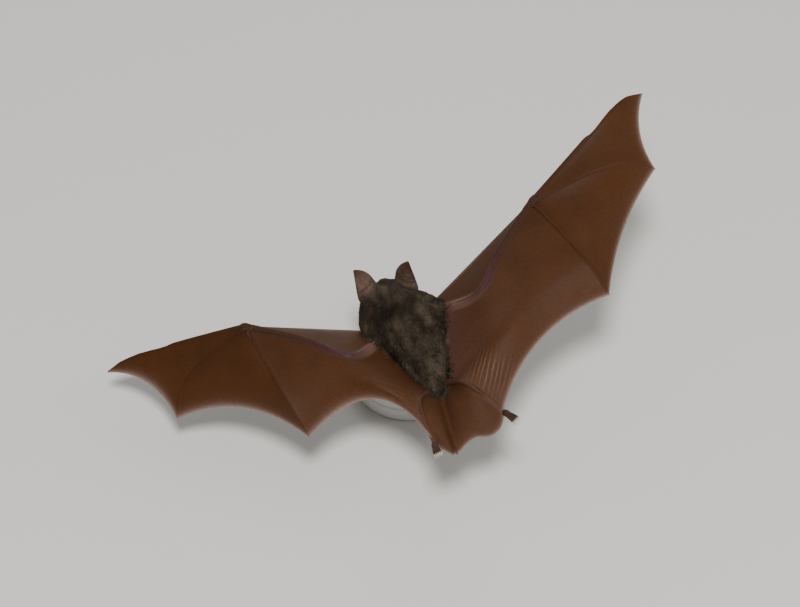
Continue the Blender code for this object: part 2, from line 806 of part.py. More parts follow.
def make_stand(clearance):
    bm = bmesh.new()
    bmesh.ops.create_cone(
        bm,
        cap_ends=True,
        segments=48,
        radius1=BASE_RADIUS,
        radius2=BASE_RADIUS,
        depth=BASE_THICKNESS,
    )
    bm.transform(Matrix.Translation((0, 0, BASE_THICKNESS / 2)))
    base = object_from_bmesh("stand_base", bm, "base_paint")
    edge = base.modifiers.new("edge", "BEVEL")
    edge.width = BASE_EDGE * MM
    edge.segments = 2
    edge.limit_method = "ANGLE"

    height = BODY_PLACE[2] - BASE_THICKNESS
    bm = bmesh.new()
    bmesh.ops.create_cone(
        bm, cap_ends=True, segments=16, radius1=ROD_RADIUS, radius2=ROD_RADIUS, depth=height
    )
    foot = BASE_THICKNESS + GAP
    x, y = BODY_PLACE[0] + ROD_PLACE[0], BODY_PLACE[1] + ROD_PLACE[1]
    bm.transform(Matrix.Translation((x, y, foot + height / 2)))
    rod = object_from_bmesh("stand_rod", bm, "rod_steel")
    combine(rod, clearance)


# ---------------------------------------------------------------- assembly

clear_scene()
SIGN = {"left": -1, "right": 1}
PARTS = new_collection("brown_bat")
CUTTERS = new_collection("cutters")
BODY_TURN = Euler((math.radians(BODY_PITCH), math.radians(-BODY_BANK), 0))
HEAD_TURN = Euler((math.radians(HEAD_PITCH), math.radians(HEAD_ROLL), math.radians(HEAD_YAW)))
BAT = new_empty("bat_pose", BODY_PLACE, BODY_TURN)
HEAD = new_empty("head_pose", HEAD_PIVOT, HEAD_TURN, BAT)

trunk_cutter = make_trunk()
neck_cutter = make_neck()
head = make_head()
make_eyes(head)
make_nose()
make_ears(swollen_loft("head_clearance", head_rings(GAP), HEAD), neck_cutter)
tail = make_tail(trunk_cutter)
for side in SIGN:
    wing, leg = wing_joints(side), leg_joints(side)
    make_wing_bones(side, wing, trunk_cutter)
    make_wing_membranes(side, wing, leg, trunk_cutter, neck_cutter)
    make_leg(side, leg, trunk_cutter)
    make_tail_membrane(side, tail, leg, trunk_cutter)
make_stand(trunk_cutter)
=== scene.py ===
import math

import bpy
import numpy as np
from mathutils import Euler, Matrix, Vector
from mathutils.kdtree import KDTree


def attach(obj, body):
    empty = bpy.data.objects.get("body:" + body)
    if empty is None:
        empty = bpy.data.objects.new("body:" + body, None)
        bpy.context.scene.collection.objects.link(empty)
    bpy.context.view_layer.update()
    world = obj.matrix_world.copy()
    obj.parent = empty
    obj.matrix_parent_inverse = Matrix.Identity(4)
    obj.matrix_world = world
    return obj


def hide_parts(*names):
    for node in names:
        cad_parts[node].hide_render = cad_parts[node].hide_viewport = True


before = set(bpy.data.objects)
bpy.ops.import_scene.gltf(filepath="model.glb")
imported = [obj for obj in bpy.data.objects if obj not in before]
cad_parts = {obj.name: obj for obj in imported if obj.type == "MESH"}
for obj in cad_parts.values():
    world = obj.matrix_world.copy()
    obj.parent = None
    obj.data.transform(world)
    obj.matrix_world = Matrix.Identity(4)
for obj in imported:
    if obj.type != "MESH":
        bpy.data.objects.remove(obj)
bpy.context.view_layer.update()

MM = 0.001
SIGN = {"left": -1, "right": 1}


# ---------------------------------------------------------------- the bat's sizes, in millimetres

HUMERUS, FOREARM = 22.5, 38.5
FOREARM_BOW, BOW_PLACE = 1.0, 0.45  # how far the forearm bows forwards, and at what share of its length
FINGER_BONES = {
    "finger_2": (30.0, 3.5),
    "finger_3": (34.0, 11.7, 8.7, 6.2),
    "finger_4": (30.5, 7.5, 6.5),
    "finger_5": (29.5, 7.5, 6.5),
}
THUMB_BONES = (2.8, 2.6, 1.6)
THIGH, SHIN, INSTEP, CALCAR = 12.0, 16.2, 4.4, 9.0
CALCAR_SHOWN = 0.5  # the share of the spur, from the ankle on, that shows as a ridge
TOE, TOES, TOE_SPREAD = 4.2, 5, 2.7
TAIL_BONES = (6.5, 6.5, 6.0, 5.0, 3.6)
EYE_RADIUS, EYE_SUNK = 0.95, 0.04
CORNEA = 0.045  # how far the cornea stands out, as a share of the ball's radius
BODY_PLACE = (-6.0, -27.0, 50.0)  # of the body frame, in which the bat's forms are given

UPPER_ARM_RADII = (1.6, 1.15, 0.95, 1.0)
FOREARM_RADII = (1.1, 1.2, 1.05, 0.9, 0.8, 0.85, 1.05)
FINGER_RADII = {
    "finger_2": (0.42, 0.34, 0.3),
    "finger_3": (0.6, 0.45, 0.5, 0.36, 0.32, 0.28),
    "finger_4": (0.55, 0.42, 0.45, 0.33, 0.28),
    "finger_5": (0.58, 0.42, 0.45, 0.33, 0.28),
}
PALM_RADII = (1.05, 1.0, 0.8, 0.5)
THUMB_END, TOE_END = 0.86, 0.8  # the share of a thumb or toe at which its skin ends, in the claw
INSTEP_SHOWN = (0.04, 0.96)  # shares of the instep's length between which its rings lie
THUMB_RADII, THUMB_ROOT = (0.7, 0.58, 0.5, 0.42), 0.85
THIGH_RADII = (1.7, 1.25, 0.95, 0.85)
SHIN_RADII = (0.85, 0.8, 0.66, 0.64)
INSTEP_RADII = (1.2, 2.5, 0.8)
TOE_RADII = (0.4, 0.4, 0.36, 0.3)
CALCAR_RADII = (0.42, 0.3, 0.2)
TAIL_RADII = (1.0, 0.85, 0.72, 0.58, 0.46, 0.34)
LIMB_STEPS = {  # rings along each limb
    **{"upper_arm": 23, "forearm": 39, "palm": 14, "thumb": 28},
    **{"thigh": 15, "shin": 21, "calcar": 10, "instep": 20, "toe": 14, "tail": 40},
}
ARM_SIDES, LEG_SIDES, FINE_SIDES = 24, 20, 10  # points around each ring
HALF_SKIN = 0.12  # half the thickness of a membrane
ARM_RIDGE, LEG_RIDGE = 1.05, 0.7  # half the height of the ridges where a membrane covers the arm and the leg
TAIL_RIDGE = 0.9  # the same over the tail, as a share of its radius
RIDGE_REACH = 0.92  # how far a ridge spreads, in radii of its bone
KNUCKLE_SWELL, KNUCKLE_REACH = 0.22, 0.018

BODY_PITCH, BODY_BANK = 3.0, 18.0
HEAD_PITCH, HEAD_ROLL, HEAD_YAW = -27.0, 13.0, -9.0

# each bone's sweep forwards from straight out to its side, and its rise, in degrees
POSE = {
    "right": {
        "humerus": (-25, 26),
        "forearm": (40, -3),
        "thumb": ((75, -45), (85, -58), (110, -75)),
        "finger_2": ((30.9, -8), (32, -12)),
        "finger_3": ((30.3, -8), (36, -12), (28, -17), (0.5, -22)),
        "finger_4": ((2, -7), (-18, -19), (-31, -25)),
        "finger_5": ((-76, -3), (-80, -24), (-84, -36)),
        "thigh": (-50, 36),
        "shin": (-61, -19),
        "foot": (-69, 20),
        "calcar": (-118, 4),
    },
    "left": {
        "humerus": (-42, 40),
        "forearm": (43, 8),
        "thumb": ((75, -45), (85, -58), (110, -75)),
        "finger_2": ((25.0, -17), (23.5, -18)),
        "finger_3": ((24.8, -17), (26, -18), (18, -20), (6, -23)),
        "finger_4": ((3, -28), (-34, -28), (-50, -30)),
        "finger_5": ((-96, -13), (-95, -30), (-93, -40)),
        "thigh": (-59, 46),
        "shin": (-85, -4),
        "foot": (-89, 30),
        "calcar": (-116, 4),
    },
}
TAIL_SWEEP, TAIL_RISES = -97.0, (5, 9, 10, 8, 4)
TRAILING_SAG = {  # how deep each free edge is scooped, as a share of its length
    "right": {"tip": 0.09, "hand": 0.06, "arm": 0.13, "tail": 0.16},
    "left": {"tip": 0.15, "hand": 0.13, "arm": 0.31, "tail": 0.08},
}
BILLOW = {"tip": 0.8, "hand": 1.6, "arm": 2.4, "fore": 0.6, "tail": 0.4}  # how high each panel bulges
PANELS = (  # of the membrane behind the arm: what it lies between, and its columns away from these
    ("arm", "flank", "5", 44),
    ("hand", "5", "4", 26),
    ("tip", "4", "3", 24),
)
LEG_FADE = 3.0  # how soon the big membrane flattens out away from the bent leg
REAR_ROWS = 70  # steps from the front edge of the big membrane to its free edge
FRONT_STEPS, FRONT_SHOWN = (18, 60), 0.995  # of the front membrane, which ends just short of its sharp point
TAIL_STEPS = (40, 20)  # of each half of the tail membrane, back along it and across it
WRIST_SEATS = {  # along the forearm, across it towards the leading edge, and up
    "thumb": (-1.0, 1.2, -1.8),
    "finger_2": (1.6, 0.2, 0.0),
    "finger_3": (1.9, -0.5, 0.0),
    "finger_4": (1.6, -1.6, 0.0),
    "finger_5": (-0.3, -2.15, 0.0),
}
SHOULDER, HIP, RUMP = (8.5, 11.0, 1.0), (3.0, -18.0, 0.5), (0.0, -20.0, 1.2)
FLANK = (9.0, 1.0, 0.3)
CHEEK, CHEEK_ROOT = (14.0, 15.6, 0.0), 6.4  # where the front membrane meets the trunk, and its root's depth
FRONT_TIP = 0.5  # how far the front membrane's point stands in front of the wrist
OFF_WRIST = 40  # how late the big membrane's front edge leaves the arm for the fifth finger
FLANK_COLUMNS = 0.5  # stands for a radius at the flank, beside which there is no bone
TRUNK_SECTIONS = np.array((  # x, y, z, half width, above, below, depth of the coat
    (0.0, -21.5, 1.2, 0.9, 1.0, 1.0, 0.4),
    (0.0, -20.0, 1.1, 2.6, 2.3, 2.3, 0.7),
    (0.0, -16.5, 0.9, 4.6, 3.9, 3.9, 0.9),
    (0.0, -12.0, 0.6, 6.4, 5.3, 5.6, 1.1),
    (0.0, -6.5, 0.3, 8.3, 6.6, 7.2, 1.2),
    (0.0, -0.5, 0.0, 10.4, 7.6, 8.3, 1.3),
    (0.0, 4.5, 0.2, 12.6, 8.1, 8.8, 1.3),
    (-0.5, 9.0, 0.4, 14.5, 8.1, 8.4, 1.3),
    (-1.3, 13.0, 0.6, 14.6, 7.6, 7.5, 1.3),
    (-2.0, 16.0, 0.8, 13.8, 7.1, 6.6, 1.4),
))
HEAD_PIVOT = np.array((-2.4, 19.4, 3.0))
HEAD_SECTIONS = np.array((  # x, forward of the pivot, z, half width, above, below, depth of the coat
    (0.0, 1.0, 0.3, 11.6, 6.2, 5.6, 1.4),
    (0.0, 4.0, 0.8, 10.2, 6.1, 5.6, 1.2),
    (0.0, 7.2, 0.9, 7.9, 5.2, 5.1, 0.85),
    (0.0, 10.0, 0.4, 5.5, 4.0, 4.4, 0.55),
    (0.0, 12.4, -0.2, 4.1, 2.8, 3.7, 0.4),
    (0.0, 14.8, -0.6, 3.4, 2.1, 2.9, 0.28),
    (0.0, 16.6, -0.8, 2.8, 1.65, 2.15, 0.2),
    (0.0, 17.9, -0.8, 2.15, 1.3, 1.5, 0.08),
    (0.0, 18.7, -0.8, 1.6, 1.0, 1.0, 0.03),
    (0.0, 19.15, -0.8, 1.05, 0.68, 0.62, 0.0),
    (0.0, 19.35, -0.8, 0.5, 0.32, 0.3, 0.0),
))
GAPE, MOUTH_TILT = (0.0, 9.8, -1.5), -3.0
EYE_PLACE = (4.0, 10.7, 1.6)
FACE_FORMS = (  # place, reach and height of the head's swellings and hollows, on both of its sides
    ((3.9, 13.0, -0.3), (1.3, 1.6, 1.1), 0.32),  # glands of the muzzle
    ((4.2, 11.4, 3.2), (1.6, 1.4, 0.9), 0.25),  # brows
    ((4.3, 10.7, 1.6), (1.15, 1.25, 1.0), -0.5),  # sockets
    ((0.0, 13.0, 3.2), (1.2, 3.0, 1.2), -0.18),  # the slight dish of the forehead
    ((2.6, 16.6, -0.2), (0.9, 1.2, 0.8), 0.12),  # whisker pads
)
MOUTH_FOLDS = (  # height, place over the mouth, and reach
    (-0.42, 0.0, 0.17),
    (0.13, 0.5, 0.3),
    (0.07, -0.45, 0.3),
)
MOUTH_FRONT = 18.35
NOSTRIL, NOSTRIL_REACH = (0.92, 18.95, -0.72), (0.3, 0.5, 0.27)
NOSE_PAD, NOSE_PAD_FADE = 17.8, 0.6  # where the bare skin of the nose begins, and over what length
SQUARENESS = 2.25  # of the body's sections: 2 is an ellipse
THINNEST = 0.25

EDGE_WIDTH = 2.6  # how far the warmer free edge fades into a membrane; its extra lightness is painted light
RIM_WIDTH = {"left": 0.95, "right": 0.5}  # how far the pale trailing rim, a painted highlight over a paler hem, fades into the wing
# the same painted highlight along the tail membrane's free edge
TAIL_RIM_WIDTH = 0.5
TRUNK_PURPLE_AND_LIGHT = {"left": 0.2, "right": 1.3}  # how purple the membrane is beside the trunk; on the right it also paints light over the body's shade
TRUNK_FLUSH_REACH, LEG_FLUSH_REACH = 14, 3.0
ARM_SKIN_REACH, ARM_SKIN_FADE = 2.5, 1.2
ELBOW_PINK_AND_HIGHLIGHT = (6.0, 7.0)  # the middle of this pink tint out from the elbow, partly a painted highlight, and its reach
UPPER_ARM_PALE = (-9.0, 6.0)  # the same for the pale tone over the humerus, partly a painted highlight
FIBRE_SPACING = 1.5  # between the fine bundles that cross the membrane beside the leg
FIBRE_ACROSS = (0.78, -0.62, 0.0)  # the way across them on the right
FIBRES_FROM_LEG = (8.0, 5.5)  # the middle of the fibred patch, and its reach
FIBRES_ALONG_LEG = (0.6, 0.28)  # the same, as shares of the leg
FIBRES_SHOWN = {"left": 0.3, "right": 1.0}

EAR_LENGTH, EAR_FOOT = 13.2, (6.6, 5.1, 2.8)
EAR_TURNS = {"left": (12, -7, 47), "right": (2, -15, 49)}
EAR_HALF_WIDTHS = (4.0, 4.8, 4.7, 4.2, 3.5, 2.6, 1.5, 0.35)
EAR_ROLLS = (86, 72, 58, 48, 40, 34, 28, 20)
EAR_HOOK, EAR_HEEL = 2.0, 0.8
# on the right ear the wider dark rim and the darker tone are painted shade: that ear is turned from the light
# and its edge curls
EAR_RIM = {"left": 0.05, "right": 0.11}  # how far the dark outer rim fades in, as a share of the ear's width
EAR_SHADE = {"left": 0.0, "right": 0.35}  # how much of the tip's darker tone the whole ear has
EAR_ROWS, EAR_STEPS = 52, 40  # rows up the ear, and steps across it
TRAGUS_ROWS, TRAGUS_COLUMNS = 24, 12
EAR_FOLD, EAR_FOLD_TURNS = 0.03, 58  # the depth of the ear's fine cross folds, and how close they are
EAR_HALF, EAR_TIP_THINNER, EAR_RIM_THICKER = 0.2, 0.07, 0.06  # half the ear's thickness
EAR_FRONT_RIM = 0.05  # as EAR_RIM, on the front edge
TRAGUS_LENGTH = 8.1  # with its root in the ear's foot
TRAGUS_HALF, TRAGUS_TIP_THINNER = 0.2, 0.08
TRAGUS_HALF_WIDTHS = (0.8, 0.85, 0.8, 0.62, 0.45, 0.15)
EYE_AXIS = (1.0, 0.28, 0.22)
LID_STEPS, LID_SIDES, LID_RADIUS = 40, 10, 0.24
LID_HALF_WIDTH, LID_HALF_HEIGHT, LID_FORWARD = 0.98, 0.84, 0.3

BODY_SIDES, TRUNK_RINGS, HEAD_RINGS = 128, 56, 110
NECK_STEPS, NECK_BLEND = 9, 8  # rings between the trunk and the head, and those smoothed beyond them
NECK_SMOOTHING = 12
RUMP_POLE, NOSE_POLE = 0.3, 0.12  # how far the body's two end points stand out from its last rings
BESIDE_BONE = np.array((0.0, 0.45, 0.8, 1.0, 1.25, 1.7, 2.4))  # columns next to a bone, in radii
BESIDE_BONE_MOST = 0.42  # the most of a row that these may take
NARROWEST_ROW = 0.5


# ---------------------------------------------------------------- frames and curves


def turn_matrix(*degrees):
    return np.array(Euler([math.radians(a) for a in degrees]).to_matrix())


BODY_TURN = turn_matrix(BODY_PITCH, -BODY_BANK, 0)
HEAD_TURN = turn_matrix(HEAD_PITCH, HEAD_ROLL, HEAD_YAW)


def head_to_body(points):
    return np.asarray(points) @ HEAD_TURN.T + HEAD_PIVOT


def body_to_world(points):
    return (np.asarray(points) @ BODY_TURN.T + BODY_PLACE) * MM


def unit(vectors):
    return vectors / np.maximum(np.linalg.norm(vectors, axis=-1, keepdims=True), 1e-9)


def bell(value, middle=0.0, reach=1.0):
    """1 where a value is at the middle, falling smoothly to almost nothing at twice the reach."""
    return np.exp(-(((value - middle) / reach) ** 2))


def share_of(value):
    """A value held between 0 and 1."""
    return np.clip(value, 0, 1)


def ramp(value, start, length):
    """0 up to the start of a ramp, and 1 from the end of its length on."""
    return share_of((value - start) / length)


def across_axis(axis):
    """Two ways across an axis: level, and upwards."""
    across = unit(np.cross(axis, (0, 0, 1)))
    return across, np.cross(across, axis)


def direction(side, sweep, rise):
    sweep, rise = math.radians(sweep), math.radians(rise)
    out = math.cos(rise)
    return np.array((SIGN[side] * math.cos(sweep) * out, math.sin(sweep) * out, math.sin(rise)))


def on_side(side, place):
    return np.array((SIGN[side] * place[0], place[1], place[2]), float)


def chain(start, lengths, aims, side):
    joints = [np.array(start, float)]
    for length, (sweep, rise) in zip(lengths, aims):
        joints.append(joints[-1] + direction(side, sweep, rise) * length)
    return joints


def on_curve(points, shares):
    """Points on the smooth curve through some points, at shares of its length."""
    points = np.asarray(points, float)
    padded = np.vstack([2 * points[0] - points[1], points, 2 * points[-1] - points[-2]])
    runs = np.linalg.norm(np.diff(padded, axis=0), axis=1)
    ends = np.concatenate([[0], np.cumsum(runs[1:-1])])
    along = np.clip(shares, 0, 1) * ends[-1]
    i = np.clip(np.searchsorted(ends, along, side="right") - 1, 0, len(ends) - 2)
    run = runs[i + 1][..., None]
    t = ((along - ends[i]) / runs[i + 1])[..., None]
    before, near, far, after = (padded[i + k] for k in range(4))
    leave = ((near - before) * (run / runs[i][..., None]) + far - near) / 2
    arrive = (far - near + (after - far) * (run / runs[i + 2][..., None])) / 2
    return (
        near * (2 * t**3 - 3 * t**2 + 1)
        + leave * (t**3 - 2 * t**2 + t)
        + far * (3 * t**2 - 2 * t**3)
        + arrive * (t**3 - t**2)
    )


def curve_through(points):
    return lambda shares: on_curve(points, shares)


def between_rows(rows, shares):
    """Rows of numbers on the smooth curve through evenly spaced rows."""
    rows = np.asarray(rows, float)
    place = np.clip(shares, 0, 1) * (len(rows) - 1)
    i = np.minimum(place.astype(int), len(rows) - 2)
    t = (place - i).reshape(place.shape + (1,) * (rows.ndim - 1))
    a, b, c, d = rows[np.maximum(i - 1, 0)], rows[i], rows[i + 1], rows[np.minimum(i + 2, len(rows) - 1)]
    return b + 0.5 * t * (c - a + t * (2 * a - 5 * b + 4 * c - d + t * (3 * (b - c) + d - a)))


def near_line(points, line, most=20000):
    """The distance from points to a line of many short steps, and where along it they are nearest."""
    a, step = line[:-1], np.diff(line, axis=0)
    flat = points.reshape(-1, 3)
    distance, share = np.empty(len(flat)), np.empty(len(flat))
    for k in range(0, len(flat), most):
        offset = flat[k : k + most, None] - a
        t = np.clip((offset * step).sum(-1) / (step * step).sum(-1), 0, 1)
        d = np.linalg.norm(offset - t[..., None] * step, axis=-1)
        best = d.argmin(1)
        row = np.arange(len(best))
        distance[k : k + most] = d[row, best]
        share[k : k + most] = (best + t[row, best]) / len(step)
    return distance.reshape(points.shape[:-1]), share.reshape(points.shape[:-1])


# ---------------------------------------------------------------- meshes from arrays


def faces_outwards(verts, quads, tris):
    """The faces turned so that the closed mesh they make holds a positive volume."""
    halves = [quads[:, :3], quads[:, [0, 2, 3]], tris]
    volume = sum(
        np.einsum("ij,ij->i", verts[h[:, 0]], np.cross(verts[h[:, 1]], verts[h[:, 2]])).sum()
        for h in halves
    )
    return (quads, tris) if volume > 0 else (quads[:, ::-1], tris[:, ::-1])


def new_piece(name, verts, quads, tris, marks=None):
    """An object from points in the body frame, with faces and named numbers on its points."""
    mesh = bpy.data.meshes.new(name)
    loops = np.concatenate([quads.ravel(), tris.ravel()]).astype(np.int32)
    sizes = np.concatenate([np.full(len(quads), 4), np.full(len(tris), 3)])
    mesh.vertices.add(len(verts))
    mesh.vertices.foreach_set("co", body_to_world(verts).astype(np.float32).ravel())
    mesh.loops.add(len(loops))
    mesh.loops.foreach_set("vertex_index", loops)
    mesh.polygons.add(len(sizes))
    mesh.polygons.foreach_set("loop_start", np.concatenate([[0], np.cumsum(sizes)[:-1]]).astype(np.int32))
    mesh.update(calc_edges=True)
    mesh.shade_smooth()
    for mark, values in (marks or {}).items():
        mesh.attributes.new(mark, "FLOAT", "POINT").data.foreach_set("value", values.astype(np.float32))
    obj = bpy.data.objects.new(name, mesh)
    bpy.context.scene.collection.objects.link(obj)
    return obj


def closed_loft(rings, start, end):
    """Points and faces of a closed skin over rings (K, N, 3), with a pole at either end."""
    count, sides = rings.shape[:2]
    verts = np.vstack([rings.reshape(-1, 3), start, end])
    k, n = np.meshgrid(np.arange(count - 1), np.arange(sides), indexing="ij")
    m = (n + 1) % sides
    quads = np.stack([k * sides + n, k * sides + m, (k + 1) * sides + m, (k + 1) * sides + n], -1)
    n, m = n[0], m[0]
    low, high = np.full(sides, count * sides), np.full(sides, count * sides + 1)
    last = (count - 1) * sides
    tris = np.vstack([np.stack([m, n, low], -1), np.stack([last + n, last + m, high], -1)])
    quads, tris = faces_outwards(verts, quads.reshape(-1, 4), tris)
    return verts, quads, tris


def circle_shares(sides):
    angle = 2 * np.pi * np.arange(sides) / sides
    return np.cos(angle)[:, None], np.sin(angle)[:, None]


CAP_RINGS = ((0.95, 0.35), (0.75, 0.7), (0.4, 0.93))  # of a rounded end: how far out, and how wide, in radii


def tube_rings(points, radii, sides, flatness=1.0):
    """Rings (K, N, 3) of a tapering tube along some points, and the way that it runs at each."""
    ahead = unit(np.gradient(points, axis=0))
    across, upward = across_axis(ahead)
    cosine, sine = circle_shares(sides)
    around = across[:, None] * cosine + upward[:, None] * (sine * flatness)
    return points[:, None] + around * radii[:, None, None], ahead


def tube(points, radii, sides=20, flatness=1.0):
    """Points and faces of a closed tapering tube along some points, with rounded ends."""
    points, radii = np.asarray(points, float), np.asarray(radii, float)
    rings, ahead = tube_rings(points, radii, sides, flatness)
    caps = []
    for end, sign in ((0, -1), (-1, 1)):
        for shift, size in CAP_RINGS:
            centre = points[end] + ahead[end] * sign * shift * radii[end]
            caps.append(centre + (rings[end] - points[end]) * size)
    rings = np.concatenate([caps[:3], rings, caps[:2:-1]])
    return closed_loft(rings, points[0] - ahead[0] * radii[0], points[-1] + ahead[-1] * radii[-1])


def grid_normals(grid):
    return unit(np.cross(np.gradient(grid, axis=1), np.gradient(grid, axis=0)))


def sheet(grid, half):
    """Points and faces of a closed sheet: a grid of points (J, I, 3) with half its thickness at each.

    The last returned is each point's place in the grid.
    """
    rows, columns = grid.shape[:2]
    offset = grid_normals(grid) * half[..., None]
    index = np.arange(rows * columns).reshape(rows, columns)
    edge = np.concatenate([index[0, :-1], index[:-1, -1], index[-1, :0:-1], index[:0:-1, 0]])
    inward = np.concatenate([index[1, :-1], index[:-1, -2], index[-2, :0:-1], index[:0:-1, 1]])
    flat, thick = grid.reshape(-1, 3), half.ravel()
    rim = flat[edge] + unit(flat[edge] - flat[inward]) * thick[edge][:, None]
    verts = np.vstack([(grid + offset).reshape(-1, 3), (grid - offset).reshape(-1, 3), rim])
    top = np.stack([index[:-1, :-1], index[:-1, 1:], index[1:, 1:], index[1:, :-1]], -1).reshape(-1, 4)
    size = rows * columns
    here, following = np.arange(len(edge)), np.roll(np.arange(len(edge)), -1)
    upper = np.stack([edge[following], edge[here], 2 * size + here, 2 * size + following], -1)
    lower = np.stack([2 * size + following, 2 * size + here, size + edge[here], size + edge[following]], -1)
    quads = np.vstack([top, top[:, ::-1] + size, upper, lower])
    quads, tris = faces_outwards(verts, quads, np.zeros((0, 3), int))
    return verts, quads, tris, np.concatenate([index.ravel(), index.ravel(), edge])


# ---------------------------------------------------------------- the bat's lines


def wing_joints(side):
    pose = POSE[side]
    shoulder = on_side(side, SHOULDER)
    elbow = shoulder + direction(side, *pose["humerus"]) * HUMERUS
    along = direction(side, *pose["forearm"])
    wrist = elbow + along * FOREARM
    lead = unit(np.cross((0, 0, 1), along)) * SIGN[side]
    joints = {
        "arm": [shoulder, elbow, elbow + (wrist - elbow) * BOW_PLACE + lead * FOREARM_BOW, wrist],
        "lead": lead,
        "along": along,
    }
    for name, lengths in dict(FINGER_BONES, thumb=THUMB_BONES).items():
        forward, across, up = WRIST_SEATS[name]
        seat = wrist + along * forward + lead * across + np.array((0, 0, up))
        joints[name] = chain(seat, lengths, pose[name], side)
    return joints


def leg_joints(side):
    pose = POSE[side]
    hip = on_side(side, HIP)
    knee = hip + direction(side, *pose["thigh"]) * THIGH
    ankle = knee + direction(side, *pose["shin"]) * SHIN
    return {
        "leg": [hip, knee, ankle],
        "heel": ankle + direction(side, *pose["calcar"]) * CALCAR,
        "instep": ankle + direction(side, *pose["foot"]) * INSTEP,
    }


def bone_path(joints, steps=48):
    return on_curve(joints, np.linspace(0, 1, steps + 1))


def bone_line(joints, radii):
    """A bone's line in short steps, and a function of its radius, with knuckles, by share of its length."""
    runs = np.linalg.norm(np.diff(joints, axis=0), axis=1)
    knuckles = np.cumsum(runs)[:-1] / runs.sum()

    def radius(share):
        swell = sum(bell(share, knuckle, KNUCKLE_REACH) for knuckle in knuckles)
        return between_rows(radii, share) * (1 + KNUCKLE_SWELL * swell)

    return bone_path(joints), radius


def even_radius(size):
    return lambda share: np.full(share.shape, size)


def fibre_marks(side, grid, leg_line):
    """Where points lie across and along the elastic fibres, how strongly these show, and their purple tint,
    partly painted light.
    """
    across = on_side(side, FIBRE_ACROSS)
    distance, share = near_line(grid, leg_line)
    by_leg = np.exp(-distance / LEG_FLUSH_REACH)
    # beside the trunk the purple tint is partly painted light, over the shade the body casts
    by_trunk = np.exp(-np.maximum(trunk_gap(grid), 0) / TRUNK_FLUSH_REACH) * TRUNK_PURPLE_AND_LIGHT[side]
    return {
        "fibre": grid @ across / FIBRE_SPACING,
        "fibre_run": grid @ np.cross((0, 0, 1), across),
        "fibrous": bell(distance, *FIBRES_FROM_LEG) * bell(share, *FIBRES_ALONG_LEG) * FIBRES_SHOWN[side],
        "purple": np.maximum(by_leg, by_trunk),
    }


def arm_marks(wing, arm_line, points):
    """How much of the arm's own skin shows, and its tint: pale over the humerus, purple beyond the elbow,
    both partly painted highlight.
    """
    distance, _ = near_line(points, arm_line)
    offset = points - wing["arm"][1]
    reach = np.linalg.norm(offset, axis=-1) * np.sign(offset @ wing["along"])
    return {
        "limb": share_of((ARM_SKIN_REACH - distance) / ARM_SKIN_FADE),
        "elbow": bell(reach, *ELBOW_PINK_AND_HIGHLIGHT),
        "upper": bell(reach, *UPPER_ARM_PALE),
    }


def beside_bones(points, bones):
    """For each bone, its radius beside the points, and how near it they are, from 0 to 1."""
    for line, radius in bones:
        distance, share = near_line(points, line)
        size = radius(share)
        yield size, 1 / (1 + (distance / size / RIDGE_REACH) ** 4)


def ridged(points, bones):
    """Half the thickness of a membrane that swells over its bones."""
    half = np.full(points.shape[:-1], HALF_SKIN)
    for size, close in beside_bones(points, bones):
        half = np.maximum(half, HALF_SKIN + (size - HALF_SKIN) * close)
    return half


def nearness(points, bones):
    return np.max([close for _, close in beside_bones(points, bones)], axis=0)


# ---------------------------------------------------------------- membranes


def coons(front, back, inner, outer, billow, fade=1.0):
    """The surface inside four edge curves: u runs from inner to outer, v from front to back.

    It bulges upwards by the billow at its middle. A larger fade keeps the side curves' bends close to them.
    """

    def surface(u, v):
        a, b = u[..., None], v[..., None]
        zero, one = np.zeros(1), np.ones(1)
        near = front(zero) * (1 - b) + back(zero) * b
        far = front(one) * (1 - b) + back(one) * b
        made = front(u) * (1 - b) + back(u) * b
        made += (inner(v) - near) * (1 - a) ** fade + (outer(v) - far) * a**fade
        made[..., 2] += billow * 16 * u * (1 - u) * v * (1 - v)
        return made

    return surface


def trailing_edge(start, end, sag, towards):
    """A free edge between two points, scooped in towards a third by a share of its length."""
    chord = end - start
    inwards = towards - start
    inwards = unit(inwards - chord * (inwards @ chord) / (chord @ chord))
    length = np.linalg.norm(chord)

    def edge(shares):
        s = shares[..., None]
        return start + chord * s + inwards * (4 * s * (1 - s) * sag * length)

    return edge


def columns(width, inner, outer, between):
    """Places across rows of a given width, dense beside the bone at either end."""
    squeeze = np.minimum(1, BESIDE_BONE_MOST * width / (BESIDE_BONE[-1] * np.maximum(inner, outer)))
    low = BESIDE_BONE * (inner * squeeze)[:, None]
    high = width[:, None] - BESIDE_BONE[::-1] * (outer * squeeze)[:, None]
    middle = low[:, -1:] + (high[:, :1] - low[:, -1:]) * np.linspace(0, 1, between + 1)[1:-1]
    return np.concatenate([low, middle, high], axis=1) / width[:, None]


def dense_ends(steps, amount=0.1):
    """Shares from 0 to 1 that lie closer together at both ends."""
    s = np.linspace(0, 1, steps + 1)
    return s - amount * np.sin(2 * np.pi * s)


def straight(start, end):
    return lambda shares: start + (end - start) * shares[..., None]


def spanned(panel, rows, inner_radius, outer_radius, between):
    """A grid of points on a panel between two bones."""
    inner, outer, surface = panel
    width = np.maximum(np.linalg.norm(outer(rows) - inner(rows), axis=-1), NARROWEST_ROW)
    u = columns(width, inner_radius, outer_radius, between)
    return surface(u, np.broadcast_to(rows[:, None], u.shape))


